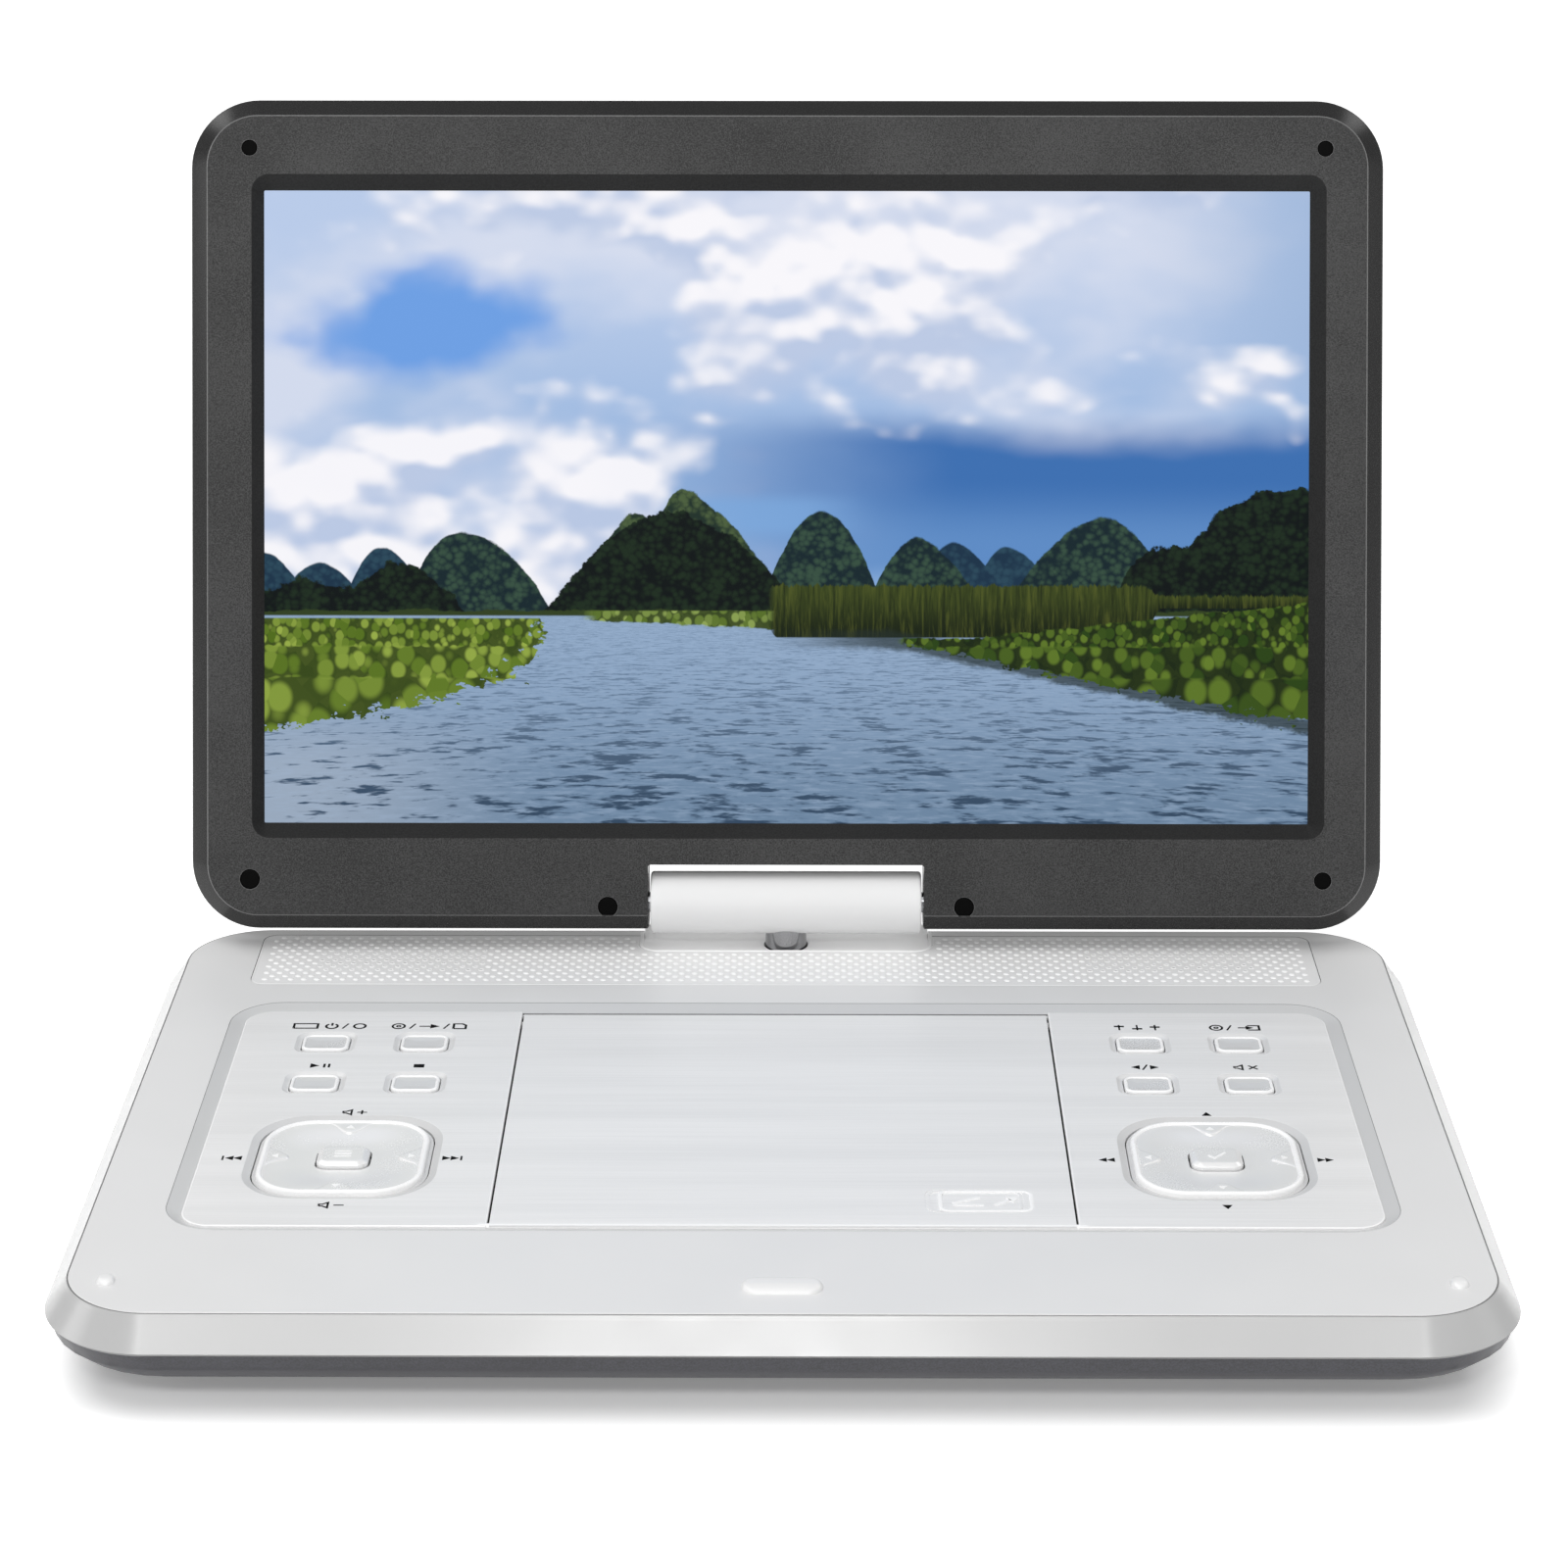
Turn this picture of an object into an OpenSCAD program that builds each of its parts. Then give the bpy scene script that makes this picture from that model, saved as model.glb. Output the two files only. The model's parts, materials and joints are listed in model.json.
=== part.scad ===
// Portable disc player: a flat base with a disc door and key panels, and a screen that
// folds down over it and swivels on a chrome shaft at the back.
// Millimetres, +Z up, +X to the user's right, +Y to the back. Modules draw the base centred
// on the origin; in_frame() then puts the origin under the middle of the open player.

/* [Base] */
// Width of the base at its widest line
base_w = 360; // [352:1:368]
// Depth of the base at its widest line
base_d = 254; // [250:1:258]
// Height of the deck above the table
deck_z = 27; // [26.5:0.1:27.5]
// Height of the line where the two case halves meet
part_z = 18; // [17.8:0.1:18.2]
// Thickness of the case walls
wall = 2.2; // [2:0.1:2.4]
// Width of the sloped rim round the deck
rim_w = 6; // [5.5:0.1:6.5]
// Corner radius of the base
base_r = 28; // [26:1:30]

/* [Disc drive] */
// Radius of the well that the disc lies in
well_r = 61.5; // [61.2:0.1:61.8]
// Radius of the boss that centres the disc
hub_r = 7.45; // [7.4:0.01:7.48]
// Half width of the disc door
door_half = 73.5; // [73.2:0.1:73.6]
// How far the pickup sled travels
sled_travel = 34; // [30:1:34]

/* [Keys] */
// Width of a small button
key_w = 13; // [12:0.1:13.2]
// Depth of a small button
key_d = 10; // [9:0.1:10.2]
// Side of a four-way pad
pad_w = 43.4; // [42:0.1:43.6]

/* [Screen] */
// Width of the screen housing
lid_w = 348; // [340:1:350]
// Length of the screen housing
lid_h = 242; // [240:1:242]
// Width of the visible picture
picture_w = 305; // [300:1:308]
// Height of the visible picture
picture_h = 184.5; // [180:0.5:186]
// Angle between deck and screen as drawn, 0 when shut
open_angle = 109; // [90:1:120]

/* [Hinge] */
// Radius of the round hinge cover
barrel_r = 9.1; // [9:0.1:9.4]
// Radius of the swivel shaft
shaft_r = 6; // [5.8:0.1:6.1]
// Radius of the tilt pins
pin_r = 3; // [2.8:0.1:3]

/* [Hidden] */
$fn = 64;
eps = 0.01;
run = 0.05;                      // radial gap of a pin turning in its bore
hull_fn = 32;

// Base
case_z = 1.5;                    // underside of the bottom case
floor_z = case_z + wall;
belly_h = part_z - case_z;
post_z = 10.4;                   // where the screw posts of the two halves meet
belly_lip = 0.8;                 // step in at the parting line
belly_front = 40;                // how far the belly curves in at the front
belly_side = 24;
belly_back = 14;
rim_h = deck_z - part_z;
deck_w = base_w - 2 * rim_w;
deck_d = base_d - 2 * rim_w;
deck_r = base_r - rim_w;
under_deck = deck_z - wall;
foot_x = 118;
foot_front = -70;
foot_back = 96;
foot_r = 8;
nub_x = 164;
nub_y = -105;
bumper_y = -107.5;

// Sunk field with the two panels and the door
field_x = 151.5;
field_front = -74;
field_back = 61.3;
moat_x = 155.6;
moat_front = -77;
moat_back = 66.5;
field_z = deck_z - 1;            // bottom of the sloped moat
plate_z = deck_z - 0.3;          // top of the panels and the door
plate_t = 1.2;
bed_top = plate_z - plate_t;
bed_under = bed_top - 2.2;
door_gap = 0.3;
door_front = -73.8;
door_back = 60;
door_t = 2.4;
pivot_door_y = 57;
pivot_door_z = 24.2;
door_pin_r = 1;
knuckle_r = 1.9;
lug_x = 76;                      // middle of the lugs that hold the door pins
mark_x = 48.5;                   // raised lift mark on the door
mark_y = -59.2;

// Disc drive
disc_y = -7;
tray_top = bed_under - 0.1;
tray_t = 1.4;
tray_floor = 19.2;
tray_half = 84;
tray_front = -77;
tray_back = 63.5;
shelf_front = -83;               // shelf and cheeks that guide the door latch
shelf_back = -75;
damper_top = 15.1;
table_top = 20.4;                // face of the turntable that carries the disc
spring_front = -86.2;            // front end of the latch spring
chassis_z = 12;
chassis_t = 1.2;
rod_z = 15.2;
rod_r = 1.5;
rod_ys = [11, -25];
screw_y = -32;
sled_x = 17;
damper_at = [[-28, -34, 0], [-28, 20, 0], [64, -40, 1], [62, 22, 1]];

// Keys
key_left_x = -113.6;
key_right_x = 112.1;
key_pitch = 27.3;
key_back_y = 39.4;
key_front_y = 12.4;
pad_y = -33.6;
pad_left_x = -114.3;
pad_right_x = 112.3;
pad_opening = 46;
pad_r = 13;
key_top = plate_z + 0.2;
key_foot = 22.2;
board_z = 18;
board_t = 1.6;
tact_top = 21.5;
ok_w = 13.4;
ok_d = 11.4;
key_fit = 0.6;                   // how much larger a key's opening is than the key
key_well = [17, 15];             // sunk ring round a small key
pad_well = 50;                   // sunk ring round a pad
well_depth = 0.6;
plunger_at = 16;                 // from the middle of a pad to its plungers

// Speakers and grille
grille_x = 154;
grille_front = 80;
grille_back = 117;
grille_t = 0.8;
sound_w = 52;                    // opening over each speaker
sound_d = 20;
cone_z = 20;
speaker_x = 112;
speaker_y = 98;
hole_pitch_x = 3.75;
hole_pitch_y = 2.4;

// Side bays with the sockets
bay_wall_x = 168;
bay_x = 170;
bay_low = 8;
bay_high = 16.5;
port_z = 12.3;
jack_r = 3.1;
dc_r = 4;
usb_half = 6.6;
usb_half_h = 2.9;
card_half = 12.2;
card_half_h = 1.3;
port_gap = 0.2;                  // between a socket and its opening in the case
bay_right = [-44, 54];
bay_left = [-42, 6];
headphone_y = -36;
av_y = -24;
usb_y = -6;
card_y = 18;
dial_x = 163;
dial_y = 42;
dial_r = 9;
switch_y = -30;
dc_y = -8;
main_z = 5.6;

// Hinge
pivot_y = 113;
pivot_z = 39.4;
yoke_z = pivot_z - 5.8;           // underside of the yoke plate, on the shaft's top
barrel_half = 39.6;
barrel_in = 7.7;
cheek_x = 29;                    // middle of the yoke's two cheeks
arm_x = 45.4;                    // middle of the arms that the screen hangs on
leaf_x = 52.9;                   // middle of the leaves screwed into the screen
wire_bore = 1.6;
bracket_z = 21;
bracket_t = 2.5;
pan_half = 42;
pan_front = 106;
pan_z = deck_z - 1;

// Screen housing, drawn lying on its back: y runs up the screen, z towards the viewer
lid_low = -7.7;
lid_top = lid_low + lid_h;
lid_r = 20;
face_n = 8;
back_n = -7;
lid_wall = 2;
face_bevel = 4.3;
back_bevel = 4;
notch_half = barrel_half + 0.7;
notch_v = 11.2;
glass_n = 5;
picture_x = -0.1;
picture_v = 115.5;
plug_floor = 6.8;                // underside of the screw plugs
recess_bevel = 4.3;
lcd_w = picture_w + 16;
lcd_h = picture_h + 16.5;
cap_spots = [[-156.5, 219.8, 2.3], [156.5, 219.8, 2.3], [-156.5, 6.8, 2.9],
    [156.5, 6.8, 2.5], [-52, -1.1, 2.9], [52, -1.1, 2.9]];

// Screw places of the base and places of the small keys
case_posts = concat([[0, -97]], [for (s = [-1, 1], p = [[150, -96], [150, 76], [56, 76]])
    [s * p[0], p[1]]]);
bracket_screws = [for (x = [-27, 27], y = [102.5, 116]) [x, y]];
tray_screws = [for (x = [-80, 80], y = [-60, 46]) [x, y]];
keypad_posts = [for (x = [pad_left_x, pad_right_x], d = [[-23.5, 30.6], [23.5, 30.6],
    [0, 59.6]]) [x + d[0], pad_y + d[1]]];
board_posts = [for (x = [92, 146], y = [-54, 56]) [x, y]];
key_spots = [for (x = [key_left_x, key_right_x], dx = [-0.5, 0.5],
    y = [key_back_y, key_front_y]) [x + dx * key_pitch, y]];

lean = 180 - open_angle;
open_back = pivot_y + (lid_top - back_bevel) * cos(lean) - back_n * sin(lean);
frame_shift = -round((open_back - base_d / 2) / 2);

// ---- placing and plain shapes ----

module in_frame() {
    translate([0, frame_shift, 0]) children();
}

module lid_pose() {
    translate([0, pivot_y, pivot_z]) rotate([lean, 0, 0]) children();
}

module rounded_rect(w, d, r) {
    square([w - 2 * r, d], center = true);
    square([w, d - 2 * r], center = true);
    for (x = [-1, 1], y = [-1, 1])
        translate([x * (w / 2 - r), y * (d / 2 - r)]) circle(r);
}

// A rounded plate centred at (x, y) with its underside at z
module plate(x, y, z, w, d, h, r) {
    translate([x, y, z]) linear_extrude(h) rounded_rect(w, d, r);
}

// A box given by its lowest and highest corners
module box(low, high) {
    translate(low) cube(high - low);
}

module tube_z(x, y, z, r_out, r_in, h) {
    translate([x, y, z]) difference() {
        cylinder(r = r_out, h = h);
        translate([0, 0, -1]) cylinder(r = r_in, h = h + 2);
    }
}

module rod_x(x0, x1, y, z, r) {
    translate([min(x0, x1), y, z]) rotate([0, 90, 0]) cylinder(r = r, h = abs(x1 - x0));
}

// A countersunk machine screw, head down, shaft up
module screw_up(x, y, z, head_r, head_h, r, length) {
    translate([x, y, z]) {
        difference() {
            cylinder(r = head_r, h = head_h);
            translate([0, 0, -eps]) cylinder(r = head_r * 0.45, h = head_h * 0.6, $fn = 6);
        }
        translate([0, 0, head_h - eps]) cylinder(r = r, h = length + eps);
    }
}

// ---- case ----

module belly(inset, top_extra = 0) {
    half_w = base_w / 2 - belly_lip - inset;
    half_d = base_d / 2 - belly_lip - inset;
    hull() {
        for (t = [0:15:90]) {
            w = 2 * (half_w - belly_side * (1 - cos(t)));
            front = half_d - belly_front * (1 - cos(t));
            back = half_d - belly_back * (1 - cos(t));
            plate(0, (back - front) / 2, part_z - eps - (belly_h - inset - eps) * sin(t),
                w, front + back, eps, base_r - inset, $fn = hull_fn);
        }
        if (top_extra > 0)
            plate(0, 0, part_z + top_extra, 2 * half_w, 2 * half_d, eps, base_r - inset,
                $fn = hull_fn);
    }
}

// The sloped rim and deck as one solid block; inset shrinks it inside the walls
module deck_block(inset, z_low, z_high) {
    slope = rim_w / rim_h;
    module ring(z) {
        grow = 2 * slope * (deck_z - z) - 2 * inset;
        plate(0, 0, z, deck_w + grow, deck_d + grow, eps,
            deck_r + slope * (deck_z - z) - inset, $fn = hull_fn);
    }
    hull() {
        ring(z_low);
        ring(z_high - eps);
    }
}

// A slot through the wall of the right bay
module bay_slot(y, half, half_h) {
    box([bay_wall_x - 1, y - half, port_z - half_h], [bay_x + 1, y + half, port_z + half_h]);
}

module bottom_case() {
    color("#26272a") difference() {
        union() {
            difference() {
                belly(0);
                belly(wall, 1);
            }
            intersection() {
                belly(0);
                union() {
                    box([bay_wall_x, bay_right[0] - wall, case_z],
                        [base_w / 2, bay_right[1] + wall, part_z]);
                    box([-base_w / 2, bay_left[0] - wall, case_z],
                        [-bay_wall_x, bay_left[1] + wall, part_z]);
                }
            }
            for (p = case_posts)
                translate([p[0], p[1], case_z + 1]) cylinder(r = 4.2, h = post_z - case_z - 1.1);
            for (p = board_posts)
                translate([p[0], p[1], case_z + 1]) cylinder(r = 3, h = main_z - case_z - 1);
        }
        box([bay_x, bay_right[0], bay_low], [base_w / 2 + 1, bay_right[1], bay_high]);
        box([-base_w / 2 - 1, bay_left[0], bay_low], [-bay_x, bay_left[1], bay_high]);
        for (y = [headphone_y, av_y]) rod_x(bay_wall_x - 1, bay_x + 1, y, port_z, jack_r + port_gap / 2);
        rod_x(-bay_x - 1, -bay_wall_x + 1, dc_y, port_z, dc_r + port_gap / 2);
        bay_slot(usb_y, usb_half + port_gap, usb_half_h + port_gap);
        bay_slot(card_y, card_half + 3 * port_gap, card_half_h + port_gap);
        bay_slot(dial_y, 8.6, 1.8);
        box([-bay_x - 1, switch_y - 4.6, port_z - 1.7],
            [-bay_wall_x + 1, switch_y + 4.6, port_z + 1.7]);
        for (p = case_posts) translate([p[0], p[1], case_z - 1]) {
            cylinder(r = 3.1, h = 4.8);
            cylinder(r = 1.4, h = 20);
        }
        for (p = board_posts) translate([p[0], p[1], floor_z]) cylinder(r = 0.9, h = 5);
        for (x = [-foot_x, foot_x], y = [foot_front, foot_back])
            translate([x, y, case_z - 1]) cylinder(r = foot_r + 0.1, h = 1.5);
    }
}

module top_case() {
    color("#e4e4e6") difference() {
        union() {
            difference() {
                deck_block(0, part_z, deck_z);
                deck_block(wall, part_z - 1, under_deck);
            }
            // thicker bed under the panels
            plate(0, (moat_front + moat_back) / 2, bed_under, 2 * (moat_x + 1),
                moat_back - moat_front, under_deck - bed_under + eps, 8);
            // lugs for the door pins
            for (s = [-1, 1])
                box([s * lug_x - 2.2, pivot_door_y - 3, bed_under - 1],
                    [s * lug_x + 2.2, pivot_door_y + 3, bed_top - eps]);
            for (p = case_posts)
                translate([p[0], p[1], post_z]) cylinder(r = 3.2, h = under_deck - post_z + eps);
            for (p = bracket_screws)
                translate([p[0], p[1], bracket_z + bracket_t])
                    cylinder(r = 3, h = under_deck - bracket_z - bracket_t + eps);
            for (p = keypad_posts)
                translate([p[0], p[1], board_z + board_t])
                    cylinder(r = 2.4, h = bed_under - board_z - board_t + eps);
            // rib that the latch spring leans on
            box([-6, spring_front - 1.8, 18.5], [6, spring_front, under_deck + eps]);
            // lid bumpers
            for (x = [-nub_x, nub_x])
                translate([x, nub_y, deck_z - eps]) bumper(4.4, 4.4);
            translate([0, bumper_y, deck_z - eps]) bumper(20, 7);
        }
        moat();
        // pocket for the panels and the opening for the door
        plate(0, (field_front + field_back) / 2, bed_top, 2 * field_x + 0.2,
            field_back - field_front + 0.2, 5, 8);
        box([-door_half - door_gap, door_front - door_gap, bed_under - 3],
            [door_half + door_gap, door_back + 0.5, deck_z + 1]);
        for (k = key_spots)
            plate(k[0], k[1], bed_under - 1, key_w + key_fit, key_d + key_fit, 5, 2.3);
        for (x = [pad_left_x, pad_right_x])
            plate(x, pad_y, bed_under - 1, pad_opening, pad_opening, 5, pad_r + 1);
        for (s = [-1, 1])
            rod_x(s * lug_x - 3, s * lug_x + 3, pivot_door_y, pivot_door_z, door_pin_r + run);
        // grille bed, sound openings and hinge pan
        plate(0, (grille_front + grille_back) / 2, deck_z - grille_t,
            2 * grille_x, grille_back - grille_front, 2, 4);
        for (x = [-speaker_x, speaker_x])
            plate(x, speaker_y, under_deck - 1, sound_w, sound_d, 5, 9);
        plate(0, pan_front + 15, pan_z, 2 * pan_half, 30, 3, 5);
        translate([0, pivot_y, under_deck - 1]) cylinder(r = shaft_r + 0.5, h = 5);
        for (p = case_posts) translate([p[0], p[1], 9]) cylinder(r = 1.2, h = 12);
        for (p = bracket_screws)
            translate([p[0], p[1], bracket_z]) cylinder(r = 1, h = 4);
        for (p = keypad_posts)
            translate([p[0], p[1], board_z]) cylinder(r = 0.9, h = 4.4);
        for (p = tray_screws)
            translate([p[0], p[1], bed_under - 1]) cylinder(r = 0.9, h = 2.6);
        latch_pocket();
    }
}

module bumper(w, d) {
    r = min(w, d) / 2;
    plate(0, 0, 0, w, d, 1, r - eps);
    plate(0, 0, 0, w - 0.8, d - 0.8, 1.5, r - 0.4 - eps);
}

module moat() {
    hull() {
        plate(0, (moat_front + moat_back) / 2, deck_z, 2 * moat_x, moat_back - moat_front,
            1, 14, $fn = hull_fn);
        plate(0, (field_front + field_back) / 2, field_z, 2 * field_x,
            field_back - field_front, eps, 8, $fn = hull_fn);
    }
}

module rubber_feet() {
    color("#1c1c1c") for (x = [-foot_x, foot_x], y = [foot_front, foot_back])
        translate([x, y, 0]) cylinder(r = foot_r, h = case_z + 0.5);
}

// ---- screws of the base ----

module base_screws() {
    color("#8d9094") {
        for (p = case_posts) screw_up(p[0], p[1], case_z + 1.4, 2.7, 2.4, 1.2, 11);
        for (p = bracket_screws) screw_up(p[0], p[1], bracket_z - 1.5, 2.2, 1.5, 1, 3.8);
        for (p = tray_screws)
            screw_up(p[0], p[1], tray_top - tray_t - 1.4, 2, 1.4, 0.9, 2.6);
        for (p = keypad_posts) screw_up(p[0], p[1], board_z - 1.2, 2, 1.2, 0.9, 4.2);
        for (p = board_posts) translate([p[0], p[1], main_z + board_t + 1.2])
            rotate([180, 0, 0]) screw_up(0, 0, 0, 2, 1.2, 0.9, 3);
        for (p = damper_at) screw_up(p[0], p[1], 8.4, 3, 1.6, 1.2, 7.8);
    }
}

// ---- deck fittings ----

module control_panel(side) {
    pad_x = side < 0 ? pad_left_x : pad_right_x;
    inner = door_half + door_gap + 0.3;
    difference() {
        intersection() {
            plate(0, (field_front + field_back) / 2, bed_top, 2 * field_x,
                field_back - field_front, plate_t, 8);
            box([side < 0 ? -field_x - 1 : inner, field_front - 1, bed_top - 1],
                [side < 0 ? -inner : field_x + 1, field_back + 1, plate_z + 1]);
        }
        for (k = key_spots) {
            plate(k[0], k[1], bed_top - 1, key_w + key_fit, key_d + key_fit, 5, 2.3);
            plate(k[0], k[1], plate_z - well_depth, key_well[0], key_well[1], 5, 4);
        }
        plate(pad_x, pad_y, bed_top - 1, pad_opening, pad_opening, 5, pad_r + 1);
        plate(pad_x, pad_y, plate_z - well_depth, pad_well, pad_well, 5, 15);
    }
}

module control_panel_left() {
    color("#dcdcde") control_panel(-1);
}

module control_panel_right() {
    color("#dcdcde") control_panel(1);
}

module small_key(spot) {
    color("#f2f2f3") difference() {
        union() {
            plate(spot[0], spot[1], key_foot, key_w + 2, key_d + 1.6, 0.9, 1.5);
            plate(spot[0], spot[1], key_foot, key_w, key_d, key_top - key_foot, 2);
        }
        plate(spot[0], spot[1], key_top - 0.4, key_w - 2.4, key_d - 2.4, 1, 1.2);
    }
}

module button_display() { small_key([key_left_x - key_pitch / 2, key_back_y]); }
module button_source() { small_key([key_left_x + key_pitch / 2, key_back_y]); }
module button_play() { small_key([key_left_x - key_pitch / 2, key_front_y]); }
module button_stop() { small_key([key_left_x + key_pitch / 2, key_front_y]); }
module button_setup() { small_key([key_right_x - key_pitch / 2, key_back_y]); }
module button_mode() { small_key([key_right_x + key_pitch / 2, key_back_y]); }
module button_audio() { small_key([key_right_x - key_pitch / 2, key_front_y]); }
module button_mute() { small_key([key_right_x + key_pitch / 2, key_front_y]); }

// A four-way pad: dished top, centre hole, four plungers underneath
module four_way_pad(x) {
    color("#ededee") translate([x, pad_y, 0]) difference() {
        union() {
            plate(0, 0, 24.3, pad_w, pad_w, 2.9, pad_r);
            for (a = [0:90:270]) rotate(a) translate([plunger_at, 0, 22.6]) cylinder(r = 1.5, h = 2);
        }
        plate(0, 0, 20, ok_w + 1, ok_d + 1, 10, 3.5);
        translate([0, 0, 26.3]) cylinder(r1 = 5, r2 = 26, h = 1);
    }
}

module pad_left() { four_way_pad(pad_left_x); }
module pad_right() { four_way_pad(pad_right_x); }

module pad_boot(x) {
    color("#b9b9bb") tube_z(x, pad_y, 20.5, 8, 4.5, 3.1);
}

module pad_boot_left() { pad_boot(pad_left_x); }
module pad_boot_right() { pad_boot(pad_right_x); }

module centre_key(x) {
    color("#f2f2f3") {
        plate(x, pad_y, 25, ok_w, ok_d, 2.4, 3);
        translate([x, pad_y, key_foot]) cylinder(r = 3, h = 2.8 + eps);
    }
}

module button_menu() { centre_key(pad_left_x); }
module button_ok() { centre_key(pad_right_x); }

module keypad_boards() {
    color("#2f7a4a") for (x = [pad_left_x, pad_right_x]) difference() {
        plate(x, -4, board_z, 56, 112, board_t, 2);
        for (p = keypad_posts)
            translate([p[0], p[1], board_z - 1]) cylinder(r = 1, h = 5);
    }
}

module tact_switches() {
    pads = [for (x = [pad_left_x, pad_right_x]) each concat([[x, pad_y]],
        [for (a = [0:90:270]) [x + plunger_at * cos(a), pad_y + plunger_at * sin(a)]])];
    color("#c9c9c9") for (p = concat(key_spots, pads))
        translate([p[0], p[1], board_z + board_t]) {
            translate([-2.4, -2.4, 0]) cube([4.8, 4.8, 1.2]);
            cylinder(r = 1.5, h = tact_top - board_z - board_t);
        }
}

// ---- sound ----

module speaker_grille() {
    color("#e9e9ea") difference() {
        plate(0, (grille_front + grille_back) / 2, deck_z - grille_t, 2 * grille_x - 0.1,
            grille_back - grille_front - 0.1, grille_t, 4);
        plate(0, pan_front + 15, deck_z - 2, 2 * pan_half + 0.1, 30, 4, 5);
        for (x = [-speaker_x, speaker_x], row = [-3:3], col = [-6:6])
            translate([x + (col + (row % 2) / 2) * hole_pitch_x,
                speaker_y + row * hole_pitch_y, deck_z - 2])
                cylinder(r = 0.55, h = 4, $fn = 16);
    }
}

module speakers() {
    color("#303030") for (x = [-speaker_x, speaker_x]) {
        difference() {
            plate(x, speaker_y, cone_z, sound_w + 6, sound_d + 5, under_deck - cone_z, 10);
            plate(x, speaker_y, cone_z + 1, sound_w, sound_d - 1, 6, 9);
        }
        translate([x, speaker_y, 14]) cylinder(r = 11, h = 6 + eps);
        translate([x, speaker_y, cone_z]) cylinder(r = 6, h = 2.2);
    }
}

// ---- disc drive ----

module disc_tray() {
    color("#3a3b3d") difference() {
        union() {
            box([-tray_half, tray_front, tray_top - tray_t], [tray_half, tray_back, tray_top]);
            translate([0, disc_y, tray_floor - tray_t])
                cylinder(r = well_r + tray_t, h = tray_top - tray_floor + tray_t, $fn = 128);
            box([-9.8, shelf_front, 17.4], [9.8, shelf_back, 19.1 + eps]);
            for (s = [-1, 1])
                box([s * 9 - 0.8, shelf_front, 18], [s * 9 + 0.8, shelf_back, tray_top - 0.1]);
            for (p = damper_at) translate([p[0], p[1], damper_top])
                cylinder(r = 3.6, h = (p[2] > 0 ? tray_top : tray_floor) - 0.4 - damper_top);
        }
        translate([0, disc_y, tray_floor]) cylinder(r = well_r, h = 10, $fn = 128);
        translate([0, disc_y, 10]) cylinder(r = 16, h = 20);
        box([sled_x + 2, disc_y - 7, 17], [sled_x + sled_travel + 15, disc_y + 7, 20]);
        // room for the back of the door when it swings down
        box([-lug_x, 52.4, 20.6], [lug_x, 61, 25]);
        for (s = [-1, 1])
            box([s * lug_x - 3, pivot_door_y - 4, 20], [s * lug_x + 3, 62, 25]);
        for (p = tray_screws) translate([p[0], p[1], 20]) cylinder(r = 1, h = 5);
        for (p = damper_at) translate([p[0], p[1], 14]) cylinder(r = 1.2, h = 4.2);
        latch_pocket();
    }
}

module disc_door() {
    chamfer = 1.2;
    zt = plate_z;
    zb = plate_z - door_t;
    color("#dededf") difference() {
        union() {
            rotate([90, 0, 90]) translate([0, 0, -door_half]) linear_extrude(2 * door_half)
                polygon([[door_front, zb], [door_back, zb], [door_back, zt - chamfer],
                    [door_back - chamfer, zt], [door_front, zt]]);
            for (s = [-1, 1]) {
                rod_x(s * 66 - 6, s * 66 + 6, pivot_door_y, pivot_door_z, knuckle_r);
                rod_x(s * 72.8 - 3.6, s * 72.8 + 3.6, pivot_door_y, pivot_door_z, door_pin_r);
            }
            // hook that the latch holds
            box([-6, door_front + 2, zb - 3.2], [6, door_front + 3.6, zb + eps]);
            box([-6, door_front + 0.7, zb - 3.2], [6, door_front + 2.1, zb - 2]);
        }
        // relief under the plate keeps it light
        box([-door_half + 10, door_front + 12, zb - 1],
            [door_half - 10, door_back - 12, zb + 0.8]);
        // raised border of the lift mark is left by sinking the field round it
        plate(mark_x, mark_y, zt - 0.25, 25, 13, 1, 3);
    }
    color("#dededf") difference() {
        plate(mark_x, mark_y, zt - 0.3, 24, 12, 0.3, 2.6);
        plate(mark_x, mark_y, zt - 0.2, 22.6, 10.6, 1, 2);
    }
}

module latch_pocket() {
    box([-8.2, -81.2, 19.1], [8.2, -69.95, 24.1]);
}

// Sprung catch under the front edge of the door opening
module door_latch() {
    color("#55575a") {
        box([-7.6, -80, 19.2], [7.6, -76.4, 23.6]);
        box([-5, -76.5, 22.5], [5, -73.3, 23.3]);
    }
}

// Round wire wound along +Y
module coil(radius, wire, length, turns) {
    per_turn = 16;
    sides = 8;
    steps = per_turn * turns;
    points = [for (i = [0:steps], j = [0:sides - 1])
        let (a = 360 * i / per_turn, b = 360 * j / sides, r = radius + wire * cos(b))
        [r * cos(a), length * i / steps + wire * sin(b), r * sin(a)]];
    walls = [for (i = [0:steps - 1], j = [0:sides - 1]) let (k = (j + 1) % sides)
        each [[i * sides + j, i * sides + k, (i + 1) * sides + k],
            [i * sides + j, (i + 1) * sides + k, (i + 1) * sides + j]]];
    near = [for (j = [sides - 1:-1:0]) j];
    far = [for (j = [0:sides - 1]) steps * sides + j];
    polyhedron(points, concat([near], walls, [far]));
}

module latch_spring() {
    color("#b5b8bc") translate([0, spring_front + 0.4, 21.4]) coil(1.9, 0.3, 4, 4);
}

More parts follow.
